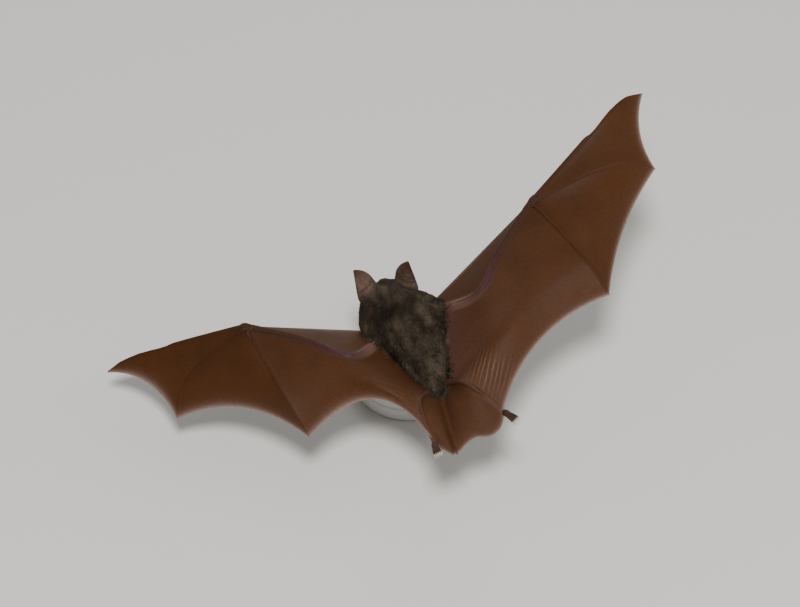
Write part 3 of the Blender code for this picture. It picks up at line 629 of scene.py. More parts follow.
def wing_panels(side, wing, leg):
    """The panels of a wing's membranes: the curves at their inner and outer sides, and their surface."""
    sag = TRAILING_SAG[side]
    arm = curve_through(wing["arm"])
    fingers = {n: curve_through(wing["finger_" + n]) for n in "345"}
    tips = {n: wing["finger_" + n][-1] for n in "345"}
    seats = {n: wing["finger_" + n][0] for n in "345"}
    shoulder, elbow, _, wrist = wing["arm"]
    hip, knee, ankle = leg["leg"]
    flank = curve_through([shoulder, on_side(side, FLANK), hip, knee, ankle])
    cheek = on_side(side, CHEEK)
    cheek = cheek + unit(cheek - wrist) * CHEEK_ROOT
    tip = wrist + unit(cheek - wrist) * FRONT_TIP

    def behind_arm(shares):  # along the arm, and off the wrist at its very end to the fifth finger's seat
        return arm(shares) + (seats["5"] - wrist) * shares[..., None] ** OFF_WRIST

    def trailing(name, inner, outer, towards):
        return trailing_edge(inner, outer, sag[name], towards)

    edges = {  # front, back, inner and outer
        "arm": (behind_arm, trailing("arm", ankle, tips["5"], elbow), flank, fingers["5"]),
        "fore": (arm, straight(cheek, tip), straight(shoulder, cheek), straight(wrist, tip)),
    }
    for name, inner, outer, _ in PANELS[1:]:
        back = trailing(name, tips[inner], tips[outer], wrist)
        edges[name] = straight(seats[inner], seats[outer]), back, fingers[inner], fingers[outer]
    fade = {"arm": LEG_FADE}
    return {
        name: (edge[2], edge[3], coons(*edge, BILLOW[name], fade.get(name, 1.0)))
        for name, edge in edges.items()
    }


STRIP_END = 0.54  # the share of the third finger at which the second ends
STRIP_LIP = 0.8  # how far the skin reaches past the leading finger, in its radii
CORD_REACH, CORD_HEIGHT, CORD_TIP = 0.07, 0.2, 12  # of the cord along the front membrane's free edge


def leading_strip(tip_panel, rows, second, radius):
    """The narrow strip in front of the third finger, out to the second."""
    fourth, third = tip_panel[0](rows), tip_panel[1](rows)
    tangent = unit(np.gradient(third, axis=0))
    away = third - fourth
    away = unit(away - tangent * np.einsum("ij,ij->i", away, tangent)[:, None])
    distance, place = near_line(third, second)
    beyond = np.where(place < 0.999, distance, 0) * (rows < STRIP_END)
    front = third + away * (beyond + STRIP_LIP * np.where(beyond > 0, radius["2"], radius["3"]))[:, None]
    front[1:-1] = (front[:-2] + front[1:-1] * 2 + front[2:]) / 4
    width = np.linalg.norm(front - third, axis=1)
    u = columns(width, radius["3"], radius["2"], 3)[:, 1:]
    return third[:, None] + (front - third)[:, None] * u[..., None]


# a free edge's pale rim is a painted highlight over its paler hem, and the warmer band inside it partly
# painted light
def edge_marks(grid, rim_width, rim=1.0):
    distance = np.linalg.norm(grid - grid[-1:], axis=-1)
    return {"rim": rim * np.exp(-distance / rim_width), "edge": np.exp(-distance / EDGE_WIDTH)}


def rear_sheet(side, panels, wing, leg):
    """The membrane behind the arm, from the flank and the leg out over the fingers."""
    bones = {n: bone_line(wing["finger_" + n], FINGER_RADII["finger_" + n]) for n in "2345"}
    rows = dense_ends(REAR_ROWS)
    radius = {n: bones[n][1](rows) for n in "2345"}
    radius["flank"] = np.full(len(rows), FLANK_COLUMNS)
    grids = []
    for name, inner, outer, between in PANELS:
        grid = spanned(panels[name], rows, radius[inner], radius[outer], between)
        grids.append(grid[:, 1:] if grids else grid)
    grids.append(leading_strip(panels["tip"], rows, bones["2"][0], radius))
    grid = np.concatenate(grids, axis=1)
    arm_line, leg_line = bone_path(wing["arm"]), bone_path(leg["leg"])
    covered = [(arm_line, even_radius(ARM_RIDGE)), (leg_line, even_radius(LEG_RIDGE))]
    marks = {
        "chord": np.broadcast_to(rows[:, None], grid.shape[:2]),
        "bone": nearness(grid, bones.values()),
        **edge_marks(grid, RIM_WIDTH[side]),
        **fibre_marks(side, grid, leg_line),
        **arm_marks(wing, arm_line, grid),
    }
    return grid, ridged(grid, [*bones.values(), *covered]), marks


def front_sheet(panel, wing):
    """The membrane in front of the arm, with a thin cord along its free edge."""
    across, out = FRONT_STEPS
    shown = dense_ends(out, 0.05) * FRONT_SHOWN
    v, u = np.broadcast_arrays(dense_ends(across, 0.06)[:, None], shown[None, :])
    grid = panel[2](u, v)
    arm_line = bone_path(wing["arm"])
    cord = bell(v, 1, CORD_REACH)
    half = ridged(grid, [(arm_line, even_radius(ARM_RIDGE))])
    half = np.maximum(half, HALF_SKIN + CORD_HEIGHT * cord * np.minimum(1, (1 - u) * CORD_TIP))
    # the cord along the free edge takes part of the pale rim's tone, a painted highlight
    return grid, half, {"chord": np.full(u.shape, 0.3), "rim": 0.4 * cord, **arm_marks(wing, arm_line, grid)}


def wing_sheets(side, wing, leg):
    """The two sheets of a wing, behind and in front of the arm, with their marks."""
    panels = wing_panels(side, wing, leg)
    return rear_sheet(side, panels, wing, leg), front_sheet(panels["fore"], wing)


def tail_sheet(side, tail, leg):
    """One half of the tail membrane, between the tail, the leg and the spur."""
    hip, knee, ankle = leg["leg"]
    heel = leg["heel"]
    gap = np.linalg.norm(heel - tail[-1])
    middle = (tail[-1] + heel) / 2 + unit(knee - heel) * TRAILING_SAG[side]["tail"] * gap
    rim = [tail[-1], middle, heel * 0.68 + middle * 0.32, heel * 0.64 + ankle * 0.36, ankle]
    inner, outer = curve_through(tail), curve_through(leg["leg"])
    surface = coons(straight(tail[0], hip), curve_through(rim), inner, outer, BILLOW["tail"])
    rows = dense_ends(TAIL_STEPS[0])
    beside = between_rows(TAIL_RADII, rows), np.ones(len(rows))
    grid = spanned((inner, outer, surface), rows, *beside, TAIL_STEPS[1])
    tail_line, tail_radius = bone_line(tail, TAIL_RADII)
    spur = on_curve([ankle, heel], np.linspace(0, CALCAR_SHOWN, 12))
    bones = [
        (tail_line, lambda share: tail_radius(share) * TAIL_RIDGE),
        (bone_path(leg["leg"]), even_radius(LEG_RIDGE)),
        (spur, lambda share: between_rows(CALCAR_RADII, share)),
    ]
    marks = {
        "chord": np.broadcast_to(0.7 * rows[:, None], grid.shape[:2]),
        "bone": 0.6 * nearness(grid, bones[:1]),
        "purple": np.full(grid.shape[:2], 0.25),
        **edge_marks(grid, TAIL_RIM_WIDTH, 0.6),
    }
    return grid, ridged(grid, bones), marks


# ---------------------------------------------------------------- trunk, neck and head


def section_rings(sections, shares):
    """Rings (K, N, 3) of the skin under the coat, through sections as they are listed at the top."""
    middle, y, z, half, above, below, coat = between_rows(sections, shares).T[:, :, None]
    across, up = (values[:, 0] for values in circle_shares(BODY_SIDES))
    wide = np.maximum(half - coat, THINNEST)
    tall = np.maximum(np.where(up > 0, above, below) - coat, THINNEST)
    power = 2 / SQUARENESS
    x = wide * np.copysign(np.abs(across) ** power, across)
    rise = tall * np.copysign(np.abs(up) ** power, up)
    return np.stack([middle + x, np.broadcast_to(y, x.shape), z + rise], axis=-1)


def above_mouth(y, z):
    """How high points are over the line between the lips, in the head's frame."""
    return z - (GAPE[2] + math.tan(math.radians(MOUTH_TILT)) * (y - GAPE[1]))


def face_relief(rings):
    """The head's rings with its brows, cheeks, muzzle glands, lips, mouth line and nostrils."""
    x, y, z = np.moveaxis(rings, -1, 0)
    middle = between_rows(HEAD_SECTIONS, np.linspace(0, 1, len(rings)))[:, None, 2]
    outwards = unit(np.stack([x, np.zeros(x.shape), z - middle], axis=-1))
    push = np.zeros(x.shape)
    for place, reach, height in FACE_FORMS:
        for sign in (-1, 1):
            squared = sum(((c - p) / r) ** 2 for c, p, r in zip((x * sign, y, z), place, reach))
            push = push + height * np.exp(-squared)
    shown = share_of((y - GAPE[1] + 0.2) / 0.5) * share_of((MOUTH_FRONT - y) / 0.3)
    for height, above, reach in MOUTH_FOLDS:
        push = push + height * shown * bell(above_mouth(y, z), above, reach)
    moved = rings + outwards * push[..., None]
    # nostrils: two deep dents at the sides of the nose's front, with swollen rims and a furrow between
    x, y, z = np.moveaxis(moved, -1, 0)
    for sign in (-1, 1):
        squared = sum(((c - p) / r) ** 2 for c, p, r in zip((x * sign, y, z), NOSTRIL, NOSTRIL_REACH))
        dent = np.exp(-squared) - 0.3 * np.exp(-squared / 3)
        moved = moved + dent[..., None] * np.array((-0.5 * sign, -0.55, 0.0))
    furrow = bell(x, 0, 0.2) * share_of((y - 18.2) / 0.6)
    return moved - furrow[..., None] * np.array((0.0, 0.16, 0.06))


def body_rings():
    """All rings of the body from the rump to the nose, and how many of them are the trunk's and neck's."""
    trunk = section_rings(TRUNK_SECTIONS, np.linspace(0, 1, TRUNK_RINGS))
    head = head_to_body(face_relief(section_rings(HEAD_SECTIONS, np.linspace(0, 1, HEAD_RINGS))))
    t = (np.arange(1, NECK_STEPS) / NECK_STEPS)[:, None, None]
    rings = np.concatenate([trunk, trunk[-1] * (1 - t) + head[0] * t, head])
    first, last = TRUNK_RINGS - NECK_BLEND, TRUNK_RINGS + NECK_STEPS + NECK_BLEND
    for _ in range(NECK_SMOOTHING):
        behind, here, ahead = (rings[first + k : last + k] for k in (-1, 0, 1))
        rings[first:last] = (behind + 2 * here + ahead) / 4
    return rings, TRUNK_RINGS, TRUNK_RINGS + NECK_STEPS - 1


def trunk_gap(points):
    """How far outside the trunk's sides points are, in the body frame."""
    share = np.interp(points[..., 1], TRUNK_SECTIONS[:, 1], np.linspace(0, 1, len(TRUNK_SECTIONS)))
    rows = between_rows(TRUNK_SECTIONS, share.ravel()).reshape(share.shape + (-1,))
    return np.abs(points[..., 0] - rows[..., 0]) - rows[..., 3] + rows[..., 6]


# ---------------------------------------------------------------- ears and lids


def ear_axes(side):
    sign = SIGN[side]
    lean, tilt, face = (math.radians(angle) for angle in EAR_TURNS[side])
    along = unit(np.array((sign * math.sin(lean), math.sin(tilt), math.cos(lean))))
    opening = np.array((sign * math.sin(face), math.cos(face), 0))
    opening = unit(opening - along * (opening @ along))
    return along, np.cross(opening, along) * sign, opening


def ear_grid(side):
    """The pinna's middle surface in the body frame: u across it and v from its foot to its tip."""
    along, backwards, opening = ear_axes(side)
    v, u = np.meshgrid(np.linspace(0, 1, EAR_ROWS), dense_ends(EAR_STEPS, 0.07), indexing="ij")
    roll = np.radians(between_rows(EAR_ROLLS, v[:, 0]))[:, None]
    radius = between_rows(EAR_HALF_WIDTHS, v[:, 0])[:, None] / np.sin(roll)
    angle = (2 * u - 1) * roll
    across = radius * np.sin(angle) + EAR_HOOK * v**3 + EAR_HEEL * (1 - v) ** 2
    depth = radius * (np.cos(angle) - np.cos(roll))
    # fine cross folds over the hind half of the ear
    folds = EAR_FOLD * np.sin(v * EAR_FOLD_TURNS) * share_of((u - 0.45) * 4) * share_of((v - 0.25) * 5)
    depth = depth + folds * share_of((0.9 - v) * 8)
    grid = (
        on_side(side, EAR_FOOT)
        + along * (EAR_LENGTH * v)[..., None]
        + backwards * across[..., None]
        - opening * depth[..., None]
    )
    rim = np.maximum(np.exp(-u / EAR_FRONT_RIM), np.exp(-(1 - u) / EAR_RIM[side]))
    half = EAR_HALF - EAR_TIP_THINNER * v + EAR_RIM_THICKER * rim * (1 - v)
    return head_to_body(grid), half, {"ear": np.ones(u.shape), "chord": v + EAR_SHADE[side], "rim": rim}


def tragus_grid(side):
    along, backwards, opening = ear_axes(side)
    v, u = np.meshgrid(np.linspace(0, 1, TRAGUS_ROWS), np.linspace(0, 1, TRAGUS_COLUMNS), indexing="ij")
    half_width = between_rows(TRAGUS_HALF_WIDTHS, v[:, 0])[:, None]
    foot = on_side(side, EAR_FOOT) + along * 0.9 + opening * 0.2 - backwards * 1.1
    grid = (
        foot
        + along * (TRAGUS_LENGTH * v)[..., None]
        + backwards * (half_width * (2 * u - 1) - 0.5 * v**2)[..., None]
        + opening * (0.3 * v + 0.5 * v**2 - 0.25 * (1 - (2 * u - 1) ** 2))[..., None]
    )
    half = TRAGUS_HALF - TRAGUS_TIP_THINNER * v
    return head_to_body(grid), half, {"ear": np.ones(u.shape), "chord": 0.75 + 0.2 * v}


def eye_axis(side):
    return unit(on_side(side, EYE_AXIS))


def lid_tube(side):
    """The ring of the two lids, a little wider than high, round the front of the eye."""
    axis = eye_axis(side)
    across, upward = across_axis(axis)
    cosine, sine = circle_shares(LID_STEPS)
    centre = on_side(side, EYE_PLACE) + axis * LID_FORWARD
    ring = centre + across * (cosine * LID_HALF_WIDTH) + upward * (sine * LID_HALF_HEIGHT)
    cosine, sine = circle_shares(LID_SIDES)
    rows = ring[:, None] + LID_RADIUS * (unit(ring - centre)[:, None] * cosine + axis * sine)
    k, n = np.meshgrid(np.arange(LID_STEPS), np.arange(LID_SIDES), indexing="ij")
    k2, n2 = (k + 1) % LID_STEPS * LID_SIDES, (n + 1) % LID_SIDES
    k = k * LID_SIDES
    quads = np.stack([k + n, k + n2, k2 + n2, k2 + n], -1).reshape(-1, 4)
    verts = head_to_body(rows.reshape(-1, 3))
    return verts, *faces_outwards(verts, quads, np.zeros((0, 3), int))


# ---------------------------------------------------------------- the one skin


def limb_tube(joints, radii, steps, end=1.0, sides=20, flatness=1.0):
    shares = np.linspace(0, end, steps + 1)
    return tube(on_curve(joints, shares), between_rows(radii, shares / end), sides, flatness)


def jointed_tube(joints, upper, lower, sides):
    """A tube through a limb's joints, and its line, with two tapers, each given as radii and steps."""
    ends = [between_rows(radii, np.linspace(0, 1, steps)) for radii, steps in (upper, lower)]
    radii = np.concatenate([ends[0][:-1], ends[1]])
    line = on_curve(joints, np.linspace(0, 1, len(radii)))
    return tube(line, radii, sides), line


def skin_parts(wings, legs, tail):
    """Every closed shell of the skin, as points, faces and marks."""
    rings = body_rings()[0]
    start, end = rings[0].mean(0) - (0, RUMP_POLE, 0), rings[-1].mean(0)
    end = end + HEAD_TURN @ np.array((0, NOSE_POLE, 0))
    forward = (np.vstack([rings.reshape(-1, 3), start, end]) - HEAD_PIVOT) @ HEAD_TURN[:, 1]
    nose = ramp(forward, NOSE_PAD, NOSE_PAD_FADE)
    yield "trunk", closed_loft(rings, start, end), {"coat": 1.0, "nose": nose}
    yield "tail", limb_tube(tail, TAIL_RADII, LIMB_STEPS["tail"]), {"limb": 0.5}
    for side in SIGN:
        wing, leg = wings[side], legs[side]
        wrist, ankle = wing["arm"][-1], leg["leg"][-1]
        for name, (grid, half, marks) in zip(
            ("wing", "propatagium", "tail_membrane", "ear", "tragus"),
            (*wing_sheets(side, wing, leg), tail_sheet(side, tail, leg), ear_grid(side), tragus_grid(side)),
        ):
            *shell, place = sheet(grid, half)
            yield name, shell, {mark: np.asarray(values).ravel()[place] for mark, values in marks.items()}
        upper_arm = (UPPER_ARM_RADII, LIMB_STEPS["upper_arm"])
        forearm = (FOREARM_RADII, LIMB_STEPS["forearm"])
        shell, line = jointed_tube(wing["arm"], upper_arm, forearm, ARM_SIDES)
        yield "arm", shell, dict(arm_marks(wing, line, shell[0]), limb=1.0)
        for finger in "2345":
            seat, knuckle = wing["finger_" + finger][:2]
            root = wrist - wing["along"] * 0.8
            palm = [root, root + (seat - root) * 0.6, seat, seat + (knuckle - seat) * 0.1]
            yield "palm_" + finger, limb_tube(palm, PALM_RADII, LIMB_STEPS["palm"]), {"limb": 1.0}
        thumb, radii = [wrist + wing["lead"] * 0.3, *wing["thumb"]], (THUMB_ROOT, *THUMB_RADII)
        yield "thumb", limb_tube(thumb, radii, LIMB_STEPS["thumb"], end=THUMB_END), {"limb": 1.0}
        thigh, shin = (THIGH_RADII, LIMB_STEPS["thigh"]), (SHIN_RADII, LIMB_STEPS["shin"])
        shell, _ = jointed_tube(leg["leg"], thigh, shin, LEG_SIDES)
        yield "leg", shell, {"limb": 0.4, "purple": 0.8}
        spur, steps = [ankle, leg["heel"]], LIMB_STEPS["calcar"]
        yield "calcar", limb_tube(spur, CALCAR_RADII, steps, CALCAR_SHOWN, FINE_SIDES), {"limb": 0.4}
        yield from foot_parts(leg)
        yield "lids", lid_tube(side), {"lid": 1.0}


def foot_axes(leg):
    ankle = leg["leg"][-1]
    forward = unit(leg["instep"] - ankle)
    return ankle, forward, *across_axis(forward)


def toe_points(leg, k):
    ankle, forward, across, up = foot_axes(leg)
    lean = (k / (TOES - 1) - 0.5) * TOE_SPREAD
    return [
        ankle + forward * (INSTEP * 0.6) + across * lean * 0.5,
        ankle + forward * (INSTEP + TOE * 0.3) + across * lean * 0.75 + up * 0.2,
        ankle + forward * (INSTEP + TOE * 0.7) + across * lean * 0.9,
        ankle + forward * (INSTEP + TOE) + across * lean - up * 1.1,
    ]


def foot_parts(leg):
    ankle, forward, _, _ = foot_axes(leg)
    thick, long, high = INSTEP_RADII
    shares = 2 * np.linspace(*INSTEP_SHOWN, LIMB_STEPS["instep"]) - 1
    line = ankle + forward * INSTEP / 2 + forward * (shares * long)[:, None]
    size = np.sin(np.arccos(shares)) * thick
    yield "instep", tube(line, size, LEG_SIDES, high / thick), {"limb": 1.0, "foot": 0.7}
    for k in range(TOES):
        toe = limb_tube(toe_points(leg, k), TOE_RADII, LIMB_STEPS["toe"], end=TOE_END, sides=FINE_SIDES)
        yield "toe", toe, {"limb": 1.0, "foot": 1.0}


SKIN_MARKS = (
    *("coat", "nose", "lid", "ear", "limb", "elbow", "upper", "foot"),
    *("chord", "bone", "rim", "edge", "purple", "fibre", "fibre_run", "fibrous"),
)


def make_skin(wings, legs, tail):
    """One closed skin over trunk, head, limbs, membranes and ears, without a seam."""
    skin = None
    for name, (verts, quads, tris), marks in skin_parts(wings, legs, tail):
        full = {
            mark: np.broadcast_to(np.asarray(marks.get(mark, 0.0), float), (len(verts),))
            for mark in SKIN_MARKS
        }
        part = new_piece(name, verts, quads, tris, full)
        if skin is None:
            skin = part
            skin.name = "skin"
            continue
        union = skin.modifiers.new("join", "BOOLEAN")
        union.operation = "UNION"
        union.solver = "MANIFOLD"
        union.object = part
        joined = bpy.data.meshes.new_from_object(skin.evaluated_get(bpy.context.evaluated_depsgraph_get()))
        skin.modifiers.clear()
        skin.data = joined
        bpy.data.objects.remove(part)
    return skin


# ---------------------------------------------------------------- the coat


TUFTS_PER_LOCK, LOCK_REACH, LOCK_PULL, ROOT_DEPTH = 12, 1.1, 0.4, 0.12
TUFTS_ABOVE, TUFTS_BELOW, TUFTS_FRINGE, TUFTS_EAR = 19900, 17000, 8400, 3600
COAT_LENGTH, HEAD_SHORTER, FACE_LENGTH = 3.4, 1.3, 0.62
COAT_WIDTH, HEAD_NARROWER, FACE_WIDTH = 0.27, 0.04, 0.12
FRINGE_REACH, ARM_FRINGE_REACH = 1.1, 1.0  # how far the body's fur thins out over the membranes and the arm
FRINGE_LEAST = 0.22  # where it is thinner than this, none grows
RUMP_FUR_REACH, FRINGE_FRONT = 3.0, 17
TUFT_SECTION = ((-0.5, 0.0), (0.5, 0.0), (0.0, 0.42))
TUFT_SIDES = [((a, b, 3 + b), (a, 3 + b, 3 + a), (3 + a, 3 + b, 6)) for a, b in ((0, 1), (1, 2), (2, 0))]
TUFT_POINTS = 7
TUFT_FACES = np.array([(0, 2, 1)] + [face for faces in TUFT_SIDES for face in faces])
TUFT_VARIES = {"length": (0.75, 1.25), "width": (0.8, 1.2), "lift": (0.7, 1.3)}
SHEET_ROOT = 0.1  # how far from the middle of a sheet its fur begins
TUFT_BEND, TUFT_ARCH = 0.1, 1.7  # how far tufts bend sideways at random, and how steeply they leave the skin
TUFT_RINGS = ((0.0, 0.75), (0.45, 1.0))  # share of a tuft's length, and its width there
STREAK_SIZE, STREAK_DRAWN = 3.2, (1, 0.3, 1)  # the coat's darker streaks, and how they run down the body
TONE_SHARES = (0.45, 0.2, 0.35)  # how far a tuft's tone follows its streak, its lock, and chance
COAT_LIFT, LIFT_RIPPLE = 0.34, 0.1  # how far tufts stand off, as a share of their length
LIE_RIPPLE, LIE_SPREAD, SHEET_LIE_SPREAD = 0.28, 0.09, 0.16
FRINGE_FUR, EAR_FUR = (1.7, 0.2, 0.16), (1.0, 0.1, 0.12)  # length, width and lift
EAR_FUR_END = 0.44  # the share of the ear's length that has fur on its back
ARM_FRINGE_SHOWN, ARM_FRINGE_ROWS = 0.3, 24
# where the coat changes, forward of the head's pivot, and over what length
HEAD_STARTS, SHORTENS, FACE_STARTS, THICKENS = (-2, 5), (-1, 6), (7, 8), (6, 8)
RUMP_STARTS, FRINGE_ENDS = (12, 9), (-22, 2)  # the same along the body: backwards, and forwards
FACE_FROM, FACE_THICKER = 8, 1.6
FACE_FUR_END, FACE_FUR_FADE, LIP_REACH = 18.0, 1.2, 0.22
BARE_ROUND_EYE = (1.0, 0.25)  # how far from the eye fur begins, and over what distance it thickens
SHOULDER_RINGS, SHOULDER_OVERLAP, HEAD_OVERLAP = 20, 6, 8  # neighbouring pieces overlap by a few rings
SEEDS = {"body": 40, "fringe": 60, "ear": 80}
# a tuft's own small patch on the piece's map, point by point
TUFT_PATCH = np.array(((-1, -1), (1, -1), (0, -1), (-1, 0), (1, 0), (0, 0), (0, 1))) * 0.0015


def ripple(points, size, seed):
    """A smooth random number from -1 to 1 at points in the body frame, in waves of about a given size."""
    rng = np.random.default_rng(seed)
    total = np.zeros(points.shape[:-1])
    for _ in range(6):
        wave = unit(rng.normal(size=3)) * (2 * np.pi / size) * rng.uniform(0.6, 1.5)
        total += np.sin(points @ wave + rng.uniform(0, 2 * np.pi))
    return np.clip(total / 3, -1, 1)


def scatter(grid, normals, weight, count, rng):
    """Random places on a grid, most where the weight is high: points, normals and shares of the grid."""
    corner = grid[:-1, :-1]
    area = np.linalg.norm(np.cross(grid[:-1, 1:] - corner, grid[1:, :-1] - corner), axis=-1)
    heavy = area * (weight[:-1, :-1] + weight[1:, 1:]) / 2
    cell = rng.choice(heavy.size, count, p=heavy.ravel() / heavy.sum())
    j, i = np.divmod(cell, heavy.shape[1])
    t, s = rng.random((2, count))

    def blended(values):
        t_, s_ = (x.reshape((-1,) + (1,) * (values.ndim - 2)) for x in (t, s))
        low = values[j, i] * (1 - s_) + values[j, i + 1] * s_
        high = values[j + 1, i] * (1 - s_) + values[j + 1, i + 1] * s_
        return low * (1 - t_) + high * t_

    shares = np.stack([(i + s) / (grid.shape[1] - 1), (j + t) / (grid.shape[0] - 1)], axis=-1)
    return blended(grid), unit(blended(normals)), shares


def gathered(root, tip, rng):
    """How far each tip moves so that neighbouring tufts lean together into locks, and each one's lock."""
    locks = rng.choice(len(root), max(len(root) // TUFTS_PER_LOCK, 1), replace=False)
    tree = KDTree(len(locks))
    for k, place in enumerate(root[locks]):
        tree.insert(place, k)
    tree.balance()
    nearest = np.array([tree.find(place)[1] for place in root])
    pull = (tip[locks][nearest] - tip) * LOCK_PULL
    far = np.linalg.norm(pull, axis=-1, keepdims=True)
    return pull * np.minimum(1, LOCK_REACH / np.maximum(far, 1e-6)), nearest


def make_tufts(name, root, normal, lie, length, width, lift, place, rng):
    """A coat piece: a thin bent blade of three sides at each root, lying along the body in locks."""
    count = len(root)
    lie = unit(lie - normal * np.einsum("ij,ij->i", lie, normal)[:, None])
    side = np.cross(lie, normal)
    length = length * rng.uniform(*TUFT_VARIES["length"], count)
    width = width * rng.uniform(*TUFT_VARIES["width"], count)
    lift = lift * rng.uniform(*TUFT_VARIES["lift"], count)
    bend = rng.normal(0, TUFT_BEND, count)

    def along(share):
        return (
            root
            + lie * (length * share)[:, None]
            + side * (length * bend * share**2)[:, None]
            + normal * (lift * length * (TUFT_ARCH * share - share**2))[:, None]
        )

    pull, lock = gathered(root, along(1.0), rng)
    verts = np.empty((count, TUFT_POINTS, 3))
    for k, (share, wide) in enumerate(TUFT_RINGS):
        centre = along(share) + pull * share**1.5 - normal * ROOT_DEPTH * (share == 0)
        for m, (across, up) in enumerate(TUFT_SECTION):
            verts[:, 3 * k + m] = centre + (side * across + normal * up) * (width * wide)[:, None]
    verts[:, 6] = along(1.0) + pull
    tris = (TUFT_FACES[None] + TUFT_POINTS * np.arange(count)[:, None, None]).reshape(-1, 3)
    flat = verts.reshape(-1, 3)
    _, tris = faces_outwards(flat, np.zeros((0, 4), int), tris)
    # its tone follows long streaks down the body, its lock, and chance
    streak = 0.5 + 0.5 * ripple(root * STREAK_DRAWN, STREAK_SIZE, 11)
    locks = rng.random(lock.max() + 1)[lock]
    by_streak, by_lock, by_chance = TONE_SHARES
    tone = by_streak * streak + by_lock * locks + by_chance * rng.random(count)
    marks = {
        "strand": np.tile((0, 0, 0, 0.5, 0.5, 0.5, 1.0), count),
        "tone": np.repeat(tone, TUFT_POINTS),
    }
    piece = new_piece(name, flat, np.zeros((0, 4), int), tris, marks)
    uv = (place[:, None] + TUFT_PATCH[None]).reshape(-1, 2)
    corners = uv[tris.ravel()].astype(np.float32).ravel()
    piece.data.uv_layers.new(name="OFBake").data.foreach_set("uv", corners)
    return piece


def body_roots(rings, count, weight, rng):
    closed = np.concatenate([rings, rings[:, :1]], axis=1)
    normals = grid_normals(closed)
    middle = rings.mean(1)[:, None]
    normals *= np.sign(np.einsum("kni,kni->kn", normals, closed - middle).mean())
    return scatter(closed, normals, weight(closed), count, rng)


def body_to_head(points):
    return (points - HEAD_PIVOT) @ HEAD_TURN


def face_cover(points):
    """How thickly fur grows on the head: not on the nose, round the eyes or between the lips."""
    x, y, z = np.moveaxis(body_to_head(points), -1, 0)
    cover = share_of((FACE_FUR_END - y) / FACE_FUR_FADE)
    for side in SIGN:
        eye = on_side(side, EYE_PLACE) + eye_axis(side) * LID_FORWARD
        near = np.linalg.norm(np.stack([x, y, z], -1) - eye, axis=-1)
        cover = cover * ramp(near, *BARE_ROUND_EYE)
    lips = bell(above_mouth(y, z), 0, LIP_REACH) * ramp(y, GAPE[1], 0.5)
    return cover * (1 - 0.96 * lips)


def coat_direction(root):
    """Where the fur points: from the nose over the head and back to the tail, a little outwards."""
    headed = ramp(body_to_head(root)[:, 1], *HEAD_STARTS)[:, None]
    outwards = 0.3 * np.clip(root[:, :1] / 10, -1, 1) * (1, 0, 0)
    lie = (outwards - (0, 1.0, 0)) * (1 - headed) + HEAD_TURN @ (0, -1.0, 0.12) * headed
    return lie + np.stack([ripple(root, 9, seed) for seed in (1, 2, 3)], -1) * LIE_RIPPLE


def body_coat(rings, name, span, count, face, rng):
    """One piece of the body's fur, on the upper (1) or the lower (-1) side of some of its rings."""
    part = rings[span]
    middle = part.mean(1)[:, None]

    def weight(points):
        above = (points - middle)[..., 2] * face
        forward = body_to_head(points)[..., 1]
        finer = 1 + FACE_THICKER * ramp(forward, *THICKENS)
        return (above > -0.4) * np.where(forward > FACE_FROM, face_cover(points), 1.0) * finer

    root, normal, place = body_roots(part, count, weight, rng)
    forward = body_to_head(root)[:, 1]
    headed = ramp(forward, *HEAD_STARTS)
    on_face = ramp(forward, *FACE_STARTS)
    on_rump = ramp(-root[:, 1], *RUMP_STARTS)
    length = (COAT_LENGTH - HEAD_SHORTER * ramp(forward, *SHORTENS)) * (1 - 0.25 * on_rump)
    length = length * (1 - on_face) + FACE_LENGTH * on_face
    width = (COAT_WIDTH - HEAD_NARROWER * headed) * (1 - on_face) + FACE_WIDTH * on_face
    lift = (COAT_LIFT + LIFT_RIPPLE * ripple(root, 5, 9)) * (1 - 0.45 * on_face) * (1 - 0.3 * on_rump)
    lie = coat_direction(root) + rng.normal(0, LIE_SPREAD, (count, 3))
    return make_tufts(name, root, normal, lie, length, width, lift, place, rng)


def sheet_coat(name, grids, lie, count, length, width, lift, rng):
    """Short fur on sheets, each given as its points, which face is furred and where. It lies one way."""
    chosen = []
    for k, (grid, face, weight) in enumerate(grids):
        root, normal, place = scatter(grid, grid_normals(grid) * face, weight, count // len(grids), rng)
        chosen.append((root + normal * SHEET_ROOT, normal, place / (len(grids), 1) + (k / len(grids), 0)))
    root, normal, place = (np.concatenate(parts) for parts in zip(*chosen))
    lie = np.broadcast_to(lie, root.shape) + rng.normal(0, SHEET_LIE_SPREAD, root.shape)
    size = np.ones(len(root))
    return make_tufts(name, root, normal, lie, length * size, width * size, lift * size, place, rng)


def fringe_weight(grid, reach):
    return np.exp(-np.maximum(trunk_gap(grid), 0) / reach)


def fringe_coat(side, wing, leg, tail, rng):
    """The body's fur where it runs out over the wing, the tail membrane and the upper arm."""
    grids = []
    for grid, _, _ in (*wing_sheets(side, wing, leg), tail_sheet(side, tail, leg)):
        near = fringe_weight(grid, FRINGE_REACH) * ramp(grid[..., 1], *FRINGE_ENDS)
        near = np.maximum(near, bell(np.linalg.norm(grid - RUMP, axis=-1), 0, RUMP_FUR_REACH))
        near = near * (near > FRINGE_LEAST) * (grid[..., 1] < FRINGE_FRONT)
        grids += [(grid, face, near) for face in (1, -1)]
    arm_root = on_curve(wing["arm"], np.linspace(0, ARM_FRINGE_SHOWN, ARM_FRINGE_ROWS))
    arm, _ = tube_rings(arm_root, np.full(ARM_FRINGE_ROWS, UPPER_ARM_RADII[1]), ARM_SIDES)
    arm = np.concatenate([arm, arm[:, :1]], axis=1)
    outer = np.sign((grid_normals(arm) * (arm - arm.mean(1)[:, None])).sum(-1).mean())
    near = fringe_weight(arm, ARM_FRINGE_REACH)
    grids.append((arm, outer, near * (near > FRINGE_LEAST)))
    lie = (SIGN[side] * 0.8, -1.0, 0)
    return sheet_coat("coat_fringe_" + side, grids, lie, TUFTS_FRINGE, *FRINGE_FUR, rng)


